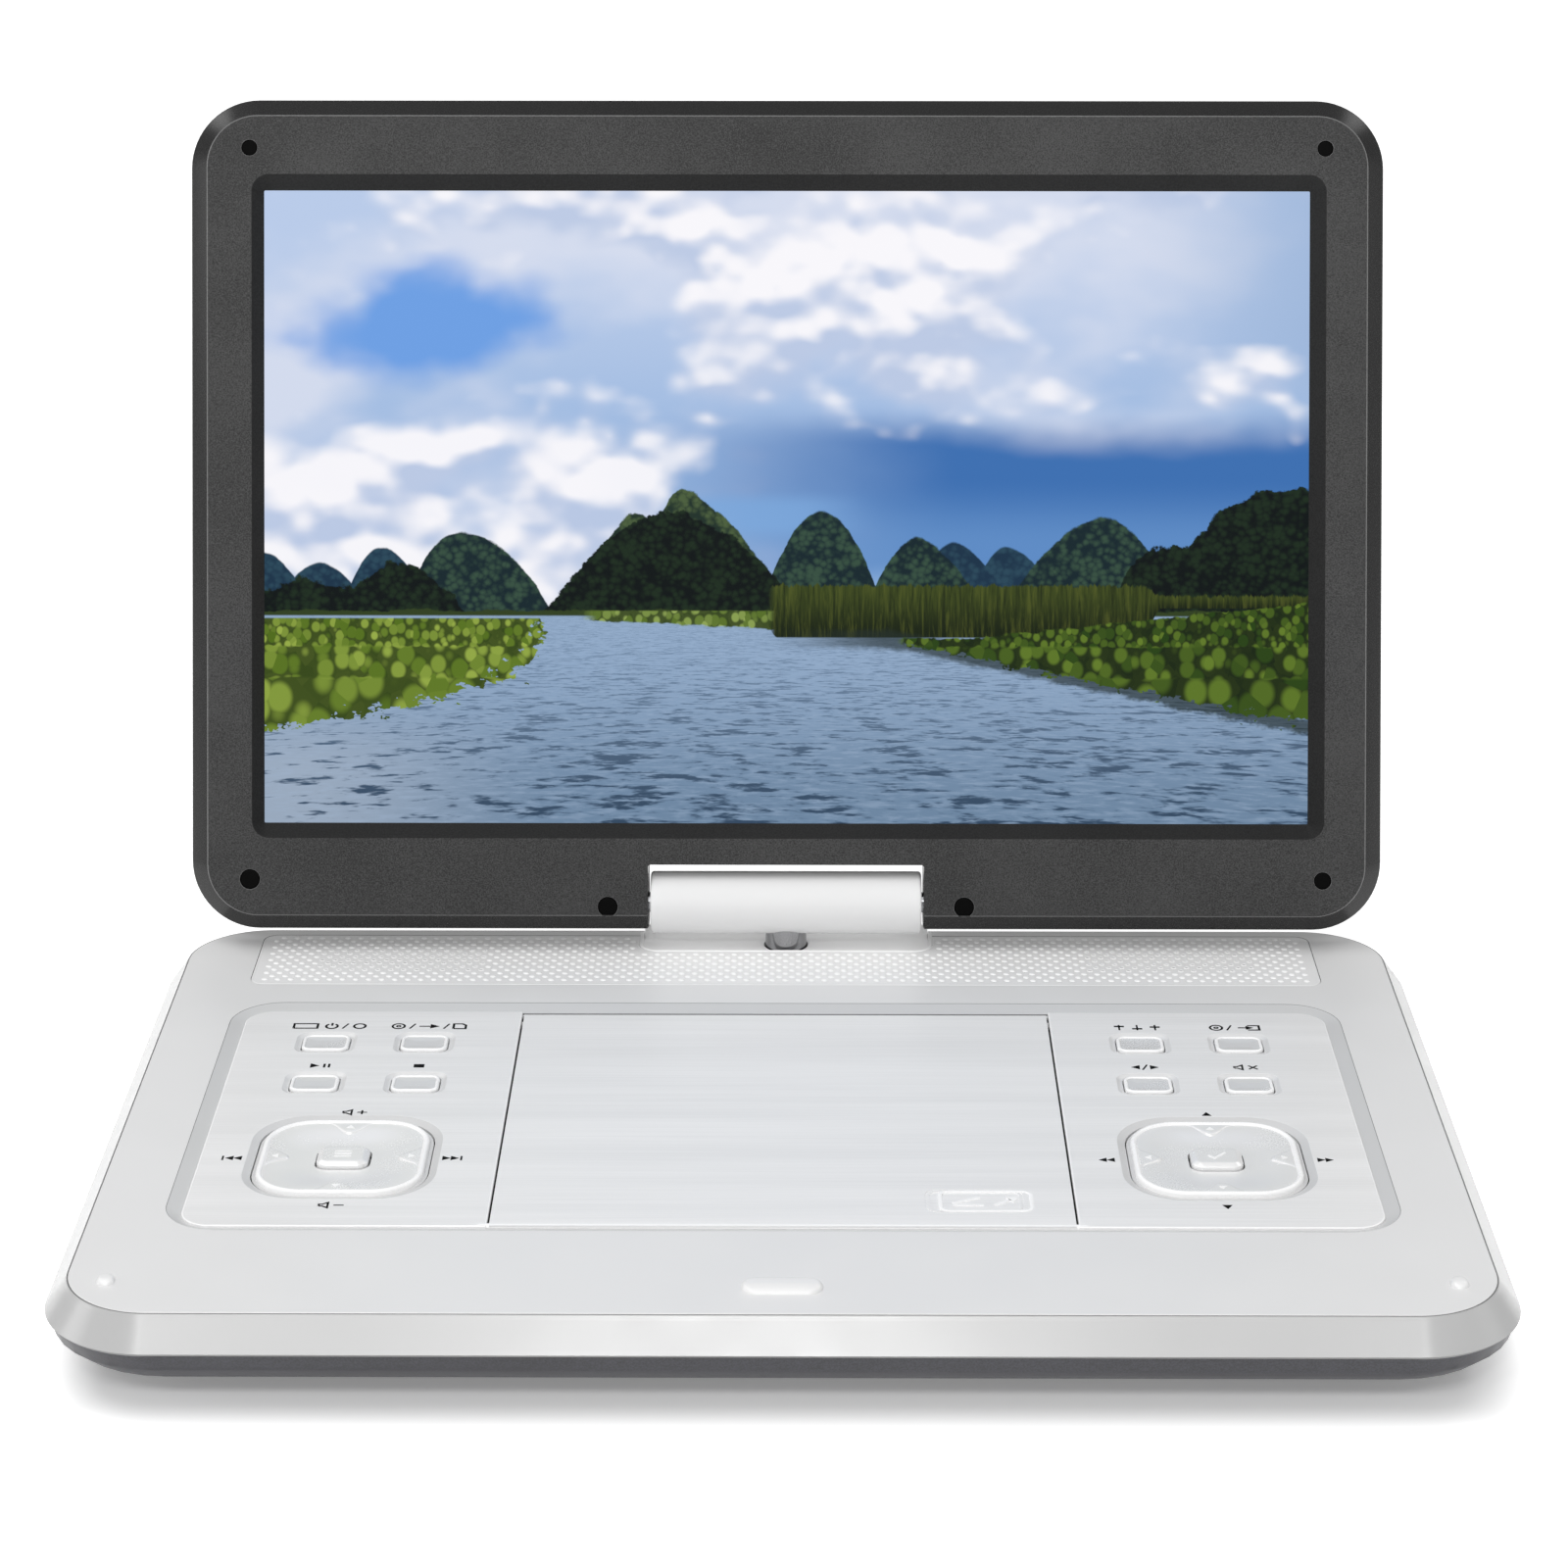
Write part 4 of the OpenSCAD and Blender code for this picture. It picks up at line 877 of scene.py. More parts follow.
def door_trim():
    """Front edge of the disc door, painted white as a highlight, and the raised lift mark at its right in the same
    white.
    """
    x0, x1 = door_box.low[0], door_box.high[0]
    y0 = door_box.low[1]
    top = door_box.high[2]
    profile = [(-0.04, -0.9), (-0.04, -0.5), (0.15, -0.16), (0.5, 0.02), (1.3, 0.05), (1.4, -0.1)]
    ends = [[Vector((x, y0 + y, top + z)) for y, z in profile] for x in (x0 + 0.05, x1 - 0.05)]
    solid = Solid().closed(ends)
    solid.make("door_front_edge", "brushed_panel", "door", plate_edge_highlight, sharp=60)
    mark_x, mark_y = x1 - 25, y0 + 14.6
    frame_corners = rect(mark_x, mark_y, 24.2, 12.2, 2.8)
    ridge_ring("door_mark_frame", frame_corners, 1.1, top - 0.25, top + 0.16, plate_edge_highlight)
    shapes = [
        stroke([(-8.4, -2.1), (-0.6, -2.1)], 0.9), stroke([(-8.4, -1.2), (-1.6, 2.3)], 0.9),
        stroke([(2.2, -2.1), (6.2, 0.9)], 0.9), arrow_head(7.2, 1.6, 1.5, 37),
    ]
    for k, shape in enumerate(shapes):
        points = [Vector((mark_x + a, mark_y + b)) for a, b in shape]
        prism(points, top - 0.25, top - 0.02).make(
            "door_mark_%d" % k, "brushed_panel", "door", plate_edge_highlight
        )


# ---- grille ----

dot_pitch = (3.75, 2.4)
speaker_at = (Span("speakers").high[0] - 29, Span("speakers").mid[1])


def is_sound_hole(x, y):
    col = abs(abs(x) - speaker_at[0]) / dot_pitch[0]
    row = abs(y - speaker_at[1]) / dot_pitch[1]
    return col < 6.6 and row < 3.2


def grille():
    """The grille plate with its staggered dots; those over the speakers are pierced."""
    lip = 1.1
    x1 = grille_box.high[0]
    y0, y1 = grille_box.low[1], grille_box.high[1]
    half = pan_half + lip
    front = pan_low_y - lip
    corners = [
        (-x1, y0, 4), (x1, y0, 4), (x1, y1, 4), (half, y1, 0.3), (half, front, 6),
        (-half, front, 6), (-half, y1, 0.3), (-x1, y1, 4),
    ]
    edge = [(0, -0.8), (0, -0.12), (0.1, 0.0), (0.35, 0.06), (0.6, 0.0), (0.8, -0.05)]
    solid = Solid()
    loops = solid.loft(sweep(corners, edge, deck_z, 8))
    holes = []
    plain = []
    rows = range(-7, 8)
    for row in rows:
        y = speaker_at[1] + row * dot_pitch[1]
        if not y0 + 1.6 < y < y1 - 1.6:
            continue
        for col in range(-42, 43):
            x = (col + (row % 2) / 2) * dot_pitch[0]
            if abs(x) > x1 - 2.2 or (abs(x) < half + 1.4 and y > front - 1.4):
                continue
            (holes if is_sound_hole(x, y) else plain).append((x, y))
    top = deck_z - 0.05
    bores = [
        solid.loft([at(disc(x, y, 0.5, 10), top), at(disc(x, y, 0.5, 10), deck_z - 0.8)])
        for x, y in holes
    ]
    solid.cap(loops[-1], [b[0] for b in bores])
    solid.cap(loops[0], [b[-1] for b in bores])
    # The grille plate's whiter paint is painted light against the screen's shade.
    solid.make("grille_plate", "silver_plastic", "base", grille_lightened_paint, ["speaker_grille"])
    dots = Solid()
    for x, y in plain:
        rise = [(0.95, -0.1), (0.88, 0.06), (0.66, 0.2), (0.34, 0.28)]
        dots.closed([at(disc(x, y, r, 10), top + z) for r, z in rise])
    for x, y in holes:
        rise = [(0.5, -0.1), (0.95, -0.1), (0.88, 0.06), (0.74, 0.17), (0.6, 0.17), (0.5, 0.04)]
        rings = dots.loft([at(disc(x, y, r, 10), top + z) for r, z in rise])
        dots.join(rings[-1], rings[0])
    # The dots are painted near white as their highlights.
    dots.make("grille_dots", "silver_plastic", "base", dot_highlight_paint, sharp=60)
    strip = [
        (-half, front, 6), (half, front, 6), (half, y1 + 3, 0.3), (pan_half, y1 + 3, 0.3),
        (pan_half, pan_low_y, 5), (-pan_half, pan_low_y, 5), (-pan_half, y1 + 3, 0.3),
        (-half, y1 + 3, 0.3),
    ]
    bead = [(0, -0.9), (0, 0.0), (0.12, 0.14), (0.32, 0.2)]
    lip_solid = Solid().closed(sweep(strip, bead, deck_z, 8))
    # The bead round the pan is painted near white as its highlight.
    lip_solid.make("pan_lip", "silver_plastic", "base", dot_highlight_paint)
    floor = inset(rect(0, pan_low_y + 12, 2 * pan_half, 24, 5), 0.02)
    tray = prism(outline(floor, 8), deck_z - 1.0, deck_z - 0.94)
    # The pan floor's whiter paint is painted light against the screen's shade.
    pan_floor = tray.make("pan_floor", "silver_plastic", "base", pan_lightened_paint)
    cut(pan_floor, prism(shaft_hole, deck_z - 3, deck_z + 1), "floor_hole")


# ---- hinge covers ----


def hinge_cover(name, side, node):
    """Half of the glossy barrel round the hinge, with rounded ends."""
    barrel = Span(node)
    half = barrel.high[0]
    r = barrel.size[2] / 2
    stations = [
        (half, r - 0.9, 3.2), (half - 0.12, r - 0.45, 3.2), (half - 0.45, r - 0.12, 3.2),
        (half - 0.9, r, 3.2), (half - 1.6, r, 3.2), (half - 1.6, r, r - 1.5),
    ]
    stations = [(-x, a, b) for x, a, b in stations] + stations[::-1]
    steps = 32
    gap = 0.03
    turn = [math.pi * k / steps for k in range(steps + 1)]
    rings = []
    for x, outer, inner in stations:
        arc = [(outer, t) for t in turn] + [(inner, t) for t in reversed(turn)]
        spots = [(side * (gap + q * math.sin(t)), q * math.cos(t)) for q, t in arc]
        rings.append([Vector((x, pivot_y + y, pivot_z + z)) for y, z in spots])
    solid = Solid().closed(rings)
    solid.make(name, "white_gloss", "swivel", gloss_white, [node], sharp=45)


# ---- screen housing ----

lid_half, lid_low, lid_top, lid_r = 174, -7.7, 234.3, 20
face_n, back_n, glass_n = 8, -7, 5
notch_half, notch_v = Span("hinge_cover_front").high[0] + 0.7, 11.2
lcd = Span("lcd_module", LID)
picture = (lcd.mid[0], lcd.mid[1], lcd.size[0] - 16, lcd.size[1] - 16.5)
cap_spots = [
    (-156.5, 219.8, 2.3), (156.5, 219.8, 2.3), (-156.5, 6.8, 2.9), (156.5, 6.8, 2.5),
    (-52, -1.1, 2.9), (52, -1.1, 2.9),
]


def lid_outline(i, grow=0.0):
    """Outline of the housing moved in by i, less at the foot; the notch only moves by grow."""
    low, high, side = lid_low + 0.78 * i, lid_top - i, lid_half - i
    r = max(lid_r - i, 1)
    n_x, n_v = notch_half + grow, notch_v + grow
    return outline(
        [
            (-side, low, r), (-n_x, low, 0.6), (-n_x, n_v, 0.8),
            (n_x, n_v, 0.8),
            (n_x, low, 0.6),
            (side, low, r),
            (side, high, r),
            (-side, high, r),
        ],
        16,
    )


def screen_front():
    solid = Solid()
    side = [
        (3.6, 5.0, 2), (2.0, 3.2, 2), (2.0, 0.03, 2), (0, 0.03, 0), (0, 3.0, 0), (0.1, 3.4, 0),
        (0.4, 3.9, 0), (4.6, 7.4, 0), (5.0, 7.72, 0), (5.15, 7.86, 0), (5.35, face_n, 0),
    ]
    rings = [at(lid_outline(i, g), n) for i, n, g in side]
    # Look 1, the outer bevel, is painted darker as shade; look 2, the line between bevel and face, is a painted
    # highlight.
    loops = solid.loft(rings, [0, 0, 0] + [1] * 5 + [2] * 2)
    px, pv, pw, ph = picture
    top = outline(rect(px + 0.6, pv, pw + 7.8, ph + 8.8, 5), 12)
    low = outline(rect(px, pv, pw, ph, 0.4), 12)
    slope = [(0, 0), (0.03, 0.03), (0.09, 0.14), (0.97, 2.9), (1, 3.0)]
    # The window's sloped recess (look 3) is painted darker as shade.
    window = solid.loft([at(between(top, low, t), face_n - drop) for t, drop in slope], 3)
    seats = []
    for x, v, r in cap_spots:
        rise = [(r + 0.16, 0), (r + 0.05, -0.12), (r + 0.02, -1.2)]
        # Each seat has a painted highlight ring at its rim (look 2) and painted shade on its wall and floor (look
        # 1).
        seat = solid.loft([at(disc(x, v, q), face_n + n) for q, n in rise], [2, 1])
        solid.cap(seat[-1], look=1)
        seats.append(seat[0])
    solid.cap(loops[-1], [window[0], *seats])
    solid.cap(loops[0], [window[-1]])
    solid.make(
        "screen_front", "bezel_plastic", "screen",
        [bezel_face, bezel_edge_shade, bezel_line_highlight, bezel_recess_shade],
        ["screen_bezel"],
        LID,
    )


def screen_back():
    side = [
        (4.0, -5.0, 2), (2.0, -3.0, 2), (2.0, -0.03, 2), (0.15, -0.03, 0), (0.15, -0.5, 0),
        (0, -0.55, 0), (0, -2.6, 0), (0.2, -3.6, 0), (0.8, -4.8, 0), (1.8, -5.9, 0),
        (3.0, -6.6, 0), (4.4, -6.93, 0), (6.0, back_n, 0),
    ]
    solid = Solid().closed([at(lid_outline(i, g), n) for i, n, g in side])
    solid.make("screen_back", "bezel_plastic", "screen", lid_back, ["screen_back_cover"], LID)


def screw_plugs():
    solid = Solid()
    for x, v, r in cap_spots:
        rise = [(0.0, 6.82), (0.0, 7.6), (0.12, 7.74), (0.4, 7.8)]
        solid.closed([at(disc(x, v, r - 0.02 - i), n) for i, n in rise])
    solid.make("screw_plugs", "rubber_black", "screen", cap_rubber, ["screw_caps"], LID)


def picture_sheet():
    px, pv, pw, ph = picture
    solid = prism(outline(rect(0, 0, pw - 0.02, ph - 0.02, 0.3), 4), -0.012, -0.002)
    piece = solid.make("picture", "lcd_dark", "screen", paint_river())
    piece.parent = None
    piece.matrix_world = LID @ Matrix.Translation((px * MM, pv * MM, glass_n * MM))
    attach(piece, "screen")


# ---- the picture on the screen, painted by formulas ----


def rgb(*levels):
    """A screen colour from 0 to 255 as linear light."""
    return tuple(shade(level)[0] for level in levels)


# A river between green banks, in formulas of u (across) and v (up), both 0 to 1
horizon = 0.33
bank = horizon + 0.008
river = Net("river_picture")
mix, ramp, most, vector = river.mix, river.ramp, river.most, river.vector
x_m, y_m, _ = river.split(river.places())
u = x_m * (1000 / picture[2]) + 0.5
v = y_m * (1000 / picture[3]) + 0.5
wide = u * (picture[2] / picture[3])
below = most(horizon + 0.03 - v, 0.012)
across = (u - 0.42) / below


def grain(x, y, seed, *look):
    """Noise over the picture; look is detail, roughness and distortion."""
    return river.noise(vector(x, y, seed), 1.0, *look)


def over(value, soft=0.003):
    """1 where value is above 0, with a soft edge."""
    return ramp(value, 0.0, soft)


def band(value, low, high, soft):
    """1 between low and high, fading out over soft beyond them."""
    return ramp(value, low - soft, low) * ramp(value, high + soft, high)


def spot(mid_u, mid_v, half_u, half_v, wobble=0.0):
    """1 in the middle of a soft patch, 0 outside it."""
    x = (u - mid_u) / half_u
    y = (v - mid_v) / half_v
    return ramp(river.length(x, y) + wobble, 1.0, 0.2)


def cells(vector, out=0, **settings):
    return river.node("ShaderNodeTexVoronoi", out, settings, Vector=vector, Scale=1.0)


def cloud(lift):
    """Cloud density a little above each point, to tell lit tops from grey undersides."""
    up = v + lift
    billow = grain(wide * 2.1, up * 3.1, 4.6, 4, 0.5)
    lump = cells(vector(wide * 8, up * 11.5, 2.0), feature="SMOOTH_F1")
    small = cells(vector(wide * 19, up * 26, 5.0), feature="SMOOTH_F1")
    return billow - lump * 0.16 - small * 0.07


def sky():
    veil = grain(wide * 1.5, v * 2.4, 3.0, 4, 0.5)
    tone = mix(ramp(v, 0.4, 0.95), rgb(140, 175, 219), rgb(184, 202, 232))
    tone = mix(ramp(veil, 0.4, 0.58) * 0.85, tone, rgb(216, 222, 238))
    right = ramp(u, 0.8, 1.05) * ramp(v, 0.55, 0.8)
    tone = mix(right * 0.7, tone, rgb(146, 174, 212))
    torn = (cloud(0.0) - 0.4) * 3.5
    tone = mix(spot(0.16, 0.81, 0.12, 0.1, torn), tone, rgb(108, 158, 226))
    deep = band(v + (veil - 0.5) * 0.16, 0.4, 0.58, 0.07)
    deep = deep * ramp(u + veil * 0.3, 0.42, 0.8)
    dark = mix(ramp(v, 0.44, 0.55), rgb(92, 138, 196), rgb(58, 110, 176))
    tone = mix(deep, tone, dark)
    streak = band(v, 0.475, 0.5, 0.03) * band(u, 0.27, 0.5, 0.1)
    tone = mix(streak * 0.7, tone, rgb(122, 167, 219))
    here, above = cloud(0.0), cloud(0.03)
    heap = spot(0.14, 0.56, 0.34, 0.22) * 0.07 + spot(0.87, 0.72, 0.27, 0.14) * 0.1
    heap = heap + spot(0.5, 0.99, 0.6, 0.2) * 0.05
    heap = heap - spot(0.76, 0.52, 0.5, 0.13) * 0.17 - spot(0.15, 0.79, 0.12, 0.08) * 0.1
    thick = ramp(here + heap, 0.41, 0.52)
    lit = ramp(here - above, -0.045, 0.05)
    white = mix(lit, rgb(186, 200, 227), rgb(250, 248, 251))
    return mix(thick * 0.92, tone, white)


def ridge(peaks, ragged):
    """How far a chain of humps (place, left half, right half, top, power) rises above v."""
    height = None
    for place, left, right, top, power in peaks:
        off = most((u - place) / right, (place - u) / left)
        fall = river.math("POWER", off, power) * (top - horizon)
        hump = top - fall
        height = hump if height is None else most(height, hump)
    return height + ragged - v


def hills(tone):
    rough = grain(wide * 22, v * 22, 1.0, 5, 0.65)
    crown = cells(vector(wide * 95, v * 105, 2.0))
    leafy = ramp(rough * 0.9 - crown * 0.45, 0.05, 0.42)
    far = ridge(
        [
            (0.0, 0.1, 0.05, 0.43, 1.7), (0.054, 0.05, 0.05, 0.414, 1.8),
            (0.112, 0.04, 0.05, 0.437, 2.0), (0.66, 0.05, 0.06, 0.448, 1.7),
            (0.71, 0.04, 0.06, 0.44, 1.8),
        ],
        (rough - 0.5) * 0.01,
    )
    middle = ridge(
        [
            (0.186, 0.055, 0.092, 0.462, 2.1), (0.534, 0.062, 0.062, 0.496, 1.9),
            (0.624, 0.052, 0.07, 0.457, 1.6), (0.803, 0.1, 0.085, 0.487, 1.7),
        ],
        (rough - 0.5) * 0.02,
    )
    rear = ridge(
        [(0.357, 0.06, 0.06, 0.494, 1.7), (0.4, 0.06, 0.11, 0.53, 1.5)],
        (rough - 0.5) * 0.03,
    )
    near = ridge(
        [
            (0.39, 0.125, 0.13, 0.496, 1.75), (0.127, 0.06, 0.07, 0.414, 1.8),
            (0.05, 0.1, 0.08, 0.385, 2.0), (0.86, 0.05, 0.09, 0.442, 2.4),
            (0.97, 0.12, 0.2, 0.53, 2.2),
        ],
        (rough - 0.5) * 0.05,
    )
    looks = [
        (far, rgb(20, 48, 70), rgb(38, 70, 88)),
        (middle, rgb(14, 36, 42), rgb(52, 78, 62)),
        (rear, rgb(26, 46, 36), rgb(74, 94, 58)),
        (near, rgb(2, 12, 10), rgb(24, 42, 24)),
    ]
    for rise, low, high in looks:
        tone = mix(over(rise, 0.004), tone, mix(leafy, low, high))
    shore = bank + (rough - 0.5) * 0.02 - v
    return mix(over(shore), tone, rgb(46, 62, 26))


def water(tone):
    depth = 1 / below
    long_wave = grain(across * 4.5, depth * 6, 2.0, 4, 0.55, 0.3)
    chop = grain(across * 13, depth * 17, 4.0, 3, 0.6, 0.2)
    calm = grain(across * 1.2, depth * 0.7, 9.0, 2)
    near = ramp(v, horizon, 0.0)
    base = mix(near, rgb(146, 171, 201), rgb(108, 133, 160))
    side = ramp(u, 0.3, 0.02) * ramp(v, 0.24, 0.08)
    base = mix(side * 0.7, base, rgb(166, 180, 198))
    base = mix(ramp(chop, 0.45, 0.7) * 0.35, base, rgb(160, 180, 205))
    wave = long_wave * 0.6 + chop * 0.4 + (calm - 0.5) * 0.12 + side * 0.05
    dark = mix(near, rgb(112, 136, 164), rgb(50, 72, 96))
    base = mix(ramp(wave, 0.5, 0.41), base, dark)
    return mix(over(horizon - v), tone, base)


def leaf_pattern():
    """Distance from the nearest leaf's middle and its tone; leaves grow towards the viewer."""
    spread = pick = None
    for size, line in ((0.0125, 1.0), (0.022, 0.28), (0.038, 0.23)):
        place = vector(wide / size, v * (0.5 / size) * 1.65, size * 99)
        here = cells(place)
        tone = river.split(cells(place, 1))[0]
        if spread is None:
            spread, pick = here, tone
        else:
            near = ramp(v, line + 0.003, line - 0.003)
            spread = spread + (here - spread) * near
            pick = pick + (tone - pick) * near
    return spread, pick


leaf_cells = leaf_pattern()


def leaves(tone, area, low, high, gap):
    """Broad leaves over an area, each with its own tone and a dark gap round it."""
    spread, pick = leaf_cells
    leaf = mix(pick, low, high)
    leaf = mix(ramp(spread + pick * 0.25, 0.55, 0.8) * 0.9, leaf, gap)
    return mix(area, tone, leaf)


def reeds(tone):
    blades = grain(wide * 150, v * 12, 6.0, 3, 0.7, 0.4)
    tops = grain(wide * 75, 0.0, 9.0, 3, 0.75)
    stand = band(u, 0.492, 0.84, 0.02)
    top = horizon + 0.033 + stand * 0.016 + (tops - 0.5) * 0.03
    foot = horizon + 0.01 - stand * 0.047
    body = mix(ramp(v, foot, top), rgb(16, 28, 4), rgb(56, 68, 22))
    body = mix(ramp(blades, 0.45, 0.7) * 0.5, body, rgb(90, 98, 36))
    body = mix(ramp(blades, 0.5, 0.3) * 0.7, body, rgb(20, 30, 6))
    mask = over(top - v, 0.004) * over(v - foot)
    return mix(mask * ramp(u, 0.482, 0.49), tone, body)


def paint_river():
    tone = water(hills(sky()))
    ragged = grain(wide * 30, v * 46, 8.0, 3, 0.7)
    sway = (ragged - 0.5) * below
    strip_low = 0.345 - u * 0.08 + sway * 0.3
    strip = over(v - strip_low) * over(bank - v)
    strip = strip * ramp(u, 0.3, 0.32) * ramp(u, 0.5, 0.49)
    tone = leaves(tone, strip, rgb(84, 108, 34), rgb(150, 172, 90), rgb(44, 60, 20))
    tone = reeds(tone)
    shade_v = 0.3 - most(u - 0.6, 0.0) * 0.34
    shadow = band(v + sway * 0.2, shade_v - 0.016, shade_v, 0.012)
    tone = mix(shadow * ramp(u, 0.47, 0.6) * 0.8, tone, rgb(30, 42, 34))
    ahead = river.math("POWER", most((0.325 - v) / 0.175, 0.0), 3.0)
    left = 0.268 - ahead * 0.26 + sway * 1.5 - u
    left = over(left, 0.004) * over(horizon - 0.004 - v)
    tone = leaves(tone, left, rgb(78, 106, 18), rgb(150, 172, 70), rgb(44, 62, 12))
    right_low = 0.285 - most(u - 0.605, 0.0) * 0.33 + sway * 0.5
    right_top = 0.296 + most(u - 0.68, 0.0) * 0.17 + (ragged - 0.5) * 0.02
    right = over(v - right_low) * over(right_top - v)
    right = right * ramp(u, 0.605, 0.615)
    tone = leaves(tone, right, rgb(34, 62, 8), rgb(98, 124, 38), rgb(16, 30, 6))
    return river.finish(
        Base_Color=(0.004, 0.004, 0.005), Roughness=0.4, Specular_IOR_Level=0.04,
        Emission_Color=tone, Emission_Strength=1.0,
    )



# ---- CAD nodes that keep their shape ----

# Painted shade with a dark joint: a mid grey in the crease groove, along the moat's edges, on the parting lip and
# in the gap round the grille.
crease_and_joint_shade = plastic("crease_and_joint_shade", shade(132), 0.5, 0.0, 2600, 0.1, 0.3, 0.01)
bumper_paint = plastic("bumper_paint", shade(236), 0.34, 0.05, 3000, 0.05, 0.5, 0.01)
# Painted shade: darker greys on the sloped wells round the keys and pads, and on the pads' skirts.
key_well = plastic("key_well", shade(226), 0.36, 0.3, 1700, 0.1, 0.5, 0.04)
pad_well = plastic("pad_well", shade(214), 0.42, 0.5, 1500, 0.1, 0.5, 0.05)
# Painted highlight: a lighter grey line between the bezel's bevel and its face, and round each screw seat.
bezel_line_highlight = grained("bezel_line_highlight", shade(100), shade(118), 0.5, 0.3, 2600, 0.1)

kept_looks = {
    "silver_plastic": silver,
    "dark_plastic": lower_dark,
    "brushed_panel": panel_sheet,
    "white_gloss": gloss_white,
    "key_plastic": plastic("switch_plastic", shade(214), 0.34, 0.1, 2200, 0.1, 0.5),
    "bezel_plastic": lid_back,
    "inner_plastic": grained("inner_dark", shade(40), shade(56), 0.5, 0.35, 1500),
    "chrome_shaft": metal("chrome", (0.36, 0.36, 0.37), 0.14, (900, 900, 60)),
    "steel": metal("steel", (0.55, 0.56, 0.58), 0.28),
    "rubber_black": cap_rubber,
    "rubber_grey": plastic("rubber_grey", shade(176), 0.6, 0.2, 1800, 0, 0.3),
    "board_green": board("circuit"),
    "battery_wrap": plastic("battery_wrap", (0.03, 0.09, 0.24), 0.3, 0.2, 420, 0, 0.5, 0.06),
    "lcd_dark": plastic("display_edge", shade(26), 0.3, 0.1, 2000),
    "lens_glass": plastic("lens_glass", (0.1, 0.2, 0.42), 0.05, 0.02, 900, 0.3, 0.8),
    "cable_red": plastic("cable_jacket", (0.3, 0.03, 0.03), 0.5, 0.3, 1400),
    "switch_metal": metal("stamped_metal", (0.6, 0.6, 0.62), 0.34),
}


def finish_kept_nodes():
    """Gives every CAD node its finish and rounds its sharp edges a little."""
    slots = {s["node"]: s["material_slot"] for s in frame["record"]["subparts"]}
    for node, piece in frame["nodes"].items():
        piece.data.materials.clear()
        piece.data.materials.append(kept_looks[slots[node]])
        weld = piece.modifiers.new("weld", "WELD")
        weld.merge_threshold = 2e-6
        bevel = piece.modifiers.new("bevel", "BEVEL")
        bevel.width = 0.25 * MM if node == "disc_door" else 0.12 * MM
        bevel.segments = 2
        bevel.limit_method = "ANGLE"
        bevel.angle_limit = math.radians(40)
        # The door's rounded edges get the painted highlight.
        if node == "disc_door":
            piece.data.materials.append(plate_edge_highlight)
            bevel.material = 1
        piece.modifiers.new("even", "WEIGHTED_NORMAL")
        if "custom_normal" in piece.data.attributes:
            piece.data.attributes.remove(piece.data.attributes["custom_normal"])
        piece.data.shade_smooth()


finish_kept_nodes()
base_upper()
for k, x in enumerate((-164, 164)):
    bumper("lid_bumper_%d" % k, x, base_y - 105, 4.6, 5.4, 1.4)
bumper("lid_bumper_front", 0, base_y - 107.5, 20, 7.4, 1.45)
side_controls()
door_trim()
grille()
hinge_cover("hinge_front", -1, "hinge_cover_front")
hinge_cover("hinge_rear", 1, "hinge_cover_rear")
screen_front()
screen_back()
screw_plugs()
picture_sheet()


# ---- camera, light and floor ----


def add_light(name, place, aim, size, power):
    data = bpy.data.lights.new(name, "AREA")
    data.shape = "RECTANGLE"
    data.size, data.size_y = size
    data.energy = power
    light = link(name, data)
    light.location = place
    direction = Vector(aim) - Vector(place)
    light.rotation_euler = direction.to_track_quat("-Z", "Y").to_euler()


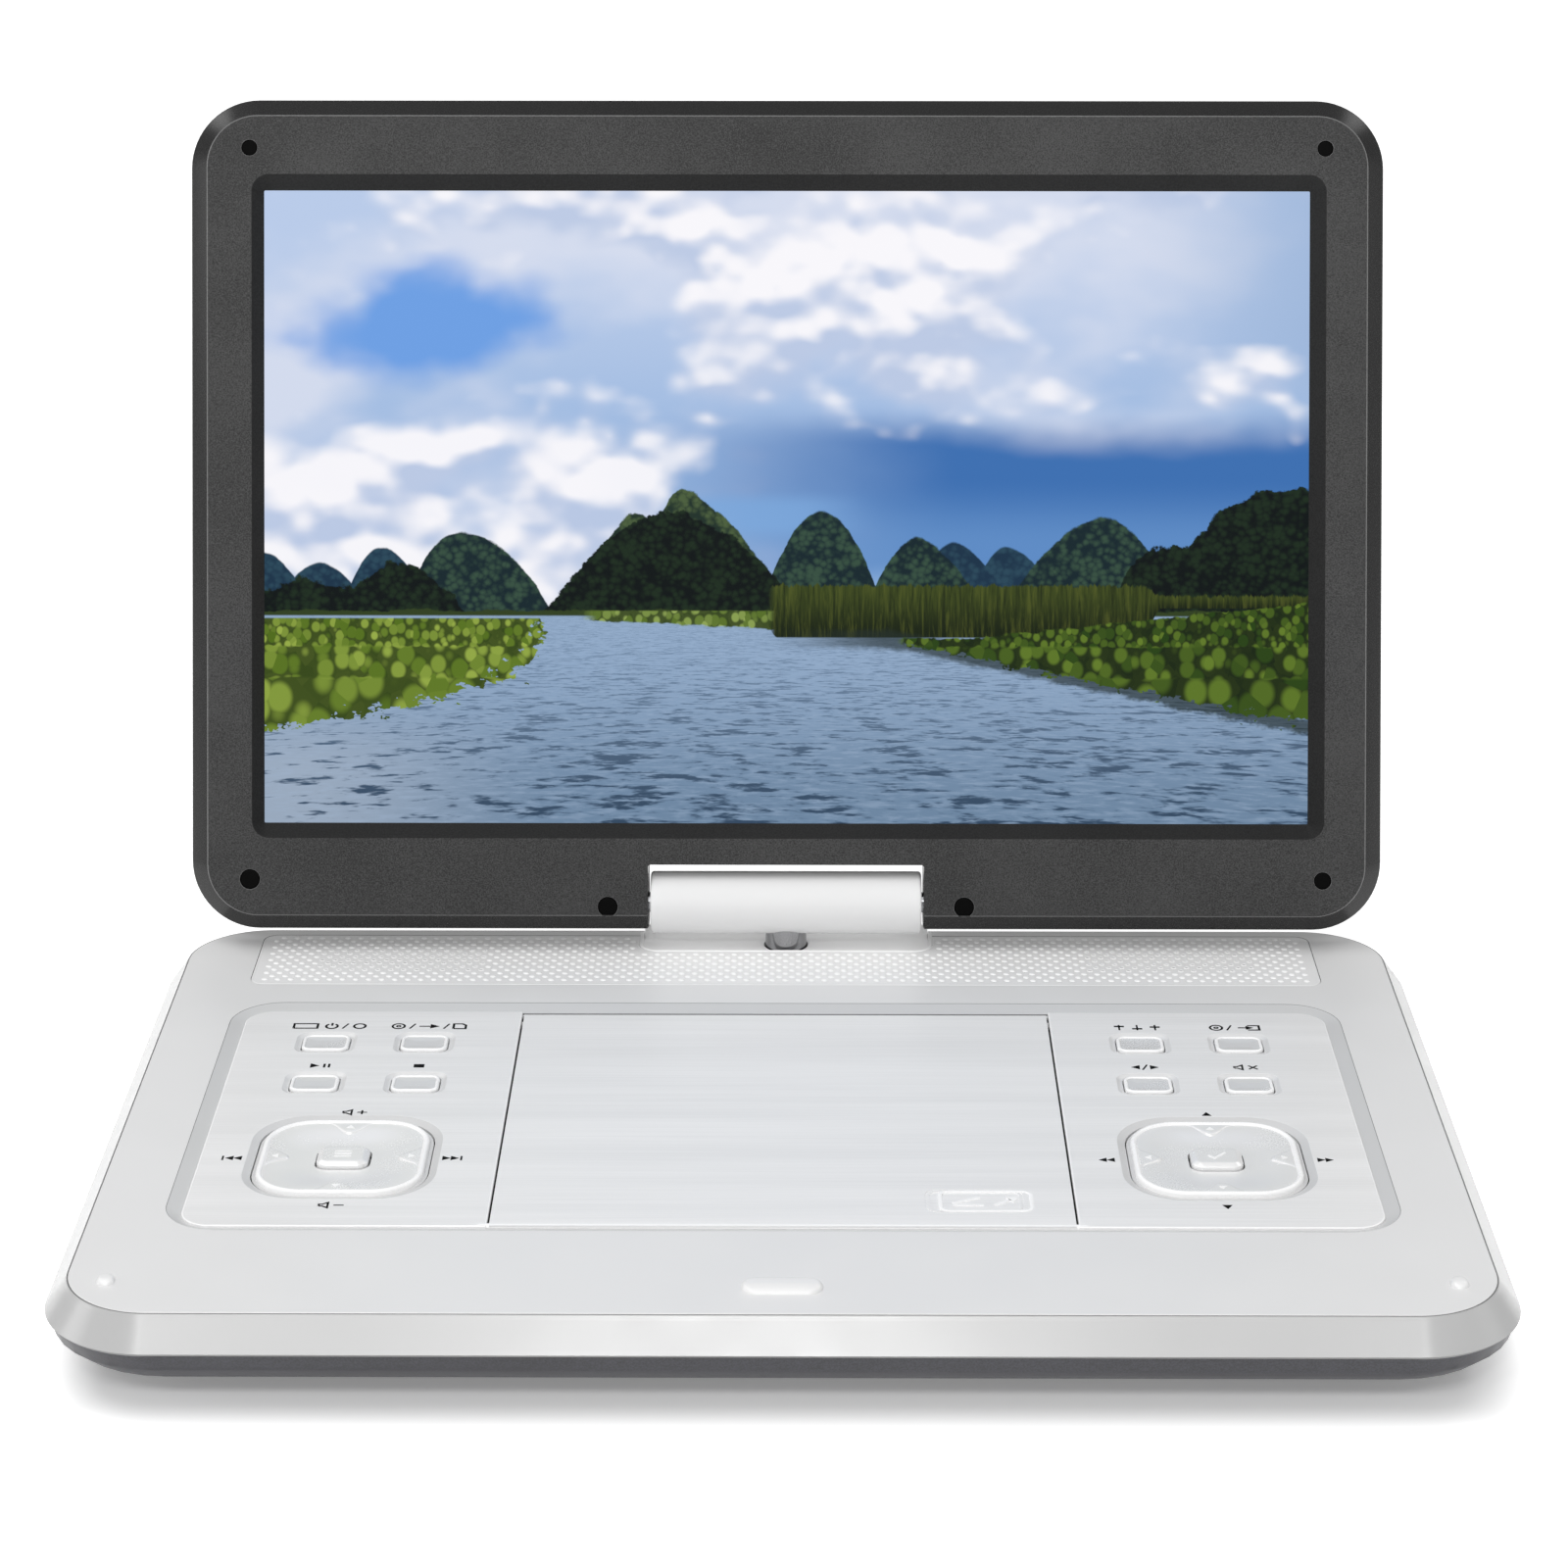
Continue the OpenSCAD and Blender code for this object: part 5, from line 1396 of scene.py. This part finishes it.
def floor():
    """A wide pale floor that glows to stay white; it glows less close to the base, a painted shadow round it."""
    net = Net("floor_paper")
    patch = net.noise(net.places(), 3, 2)
    x, y, _ = net.split(net.places())
    beside = net.most(net.math("ABSOLUTE", x) - (base_w / 2 - 15) * MM, 0.0)
    before = net.math("ABSOLUTE", y - base_y * MM) - (base_d / 2 - 12) * MM
    before = net.most(before, 0.0)
    # Distance from the base's footprint: the floor's glow drops near it as a painted shadow.
    away = net.length(beside, before)
    net.finish(
        Base_Color=net.mix(patch, shade(250), shade(253)), Roughness=0.9, Specular_IOR_Level=0.0,
        Emission_Color=net.mix(patch, shade(250), shade(253)),
        Emission_Strength=net.ramp(away, 0.0, 0.03, 0.21, 0.66),
    )
    half = 12
    mesh = bpy.data.meshes.new("floor")
    corners = [(-half, -half, 0), (half, -half, 0), (half, half, 0), (-half, half, 0)]
    mesh.from_pydata(corners, [], [(0, 1, 2, 3)])
    mesh.materials.append(net.material)
    link("floor", mesh)


floor()
world = bpy.data.worlds.new("studio")
world.use_nodes = True
world.node_tree.nodes["Background"].inputs[0].default_value = (1, 1, 1, 1)
world.node_tree.nodes["Background"].inputs[1].default_value = 0.41
bpy.context.scene.world = world
add_light("front_sky", (-0.45, -0.55, 2.3), (0, 0, 0), (2.2, 1.3), 23)
add_light("back_left", (-1.5, 0.9, 1.7), (0, 0, 0.1), (0.55, 0.55), 4)
add_light("back_right", (1.5, 0.9, 1.7), (0, 0, 0.1), (0.55, 0.55), 3.4)
add_light("front_card", (-0.04, -1.7, 1.36), (0, -0.1, 0), (0.34, 0.3), 6.5)
add_light("card_left", (-0.62, -1.65, 1.36), (0, -0.1, 0), (0.24, 0.3), 3.4)
add_light("card_right", (0.6, -1.65, 1.36), (0, -0.1, 0), (0.24, 0.3), 2.2)
add_light("low_left", (-1.6, -0.1, 0.52), (0, -0.1, 0.05), (0.6, 0.34), 1.6)
add_light("low_right", (1.6, -0.1, 0.52), (0, -0.1, 0.05), (0.6, 0.34), 0.4)
bpy.context.scene.view_settings.view_transform = "Standard"

camera_data = bpy.data.cameras.new("camera")
camera_data.sensor_width = 36
camera_data.lens = 89.3
camera_data.clip_start = 0.01
camera = link("camera", camera_data)
camera.location = (0.0046, -0.9831, 0.4629)
camera.rotation_euler = (math.radians(90 - 20), 0, math.radians(0.28))
bpy.context.scene.camera = camera
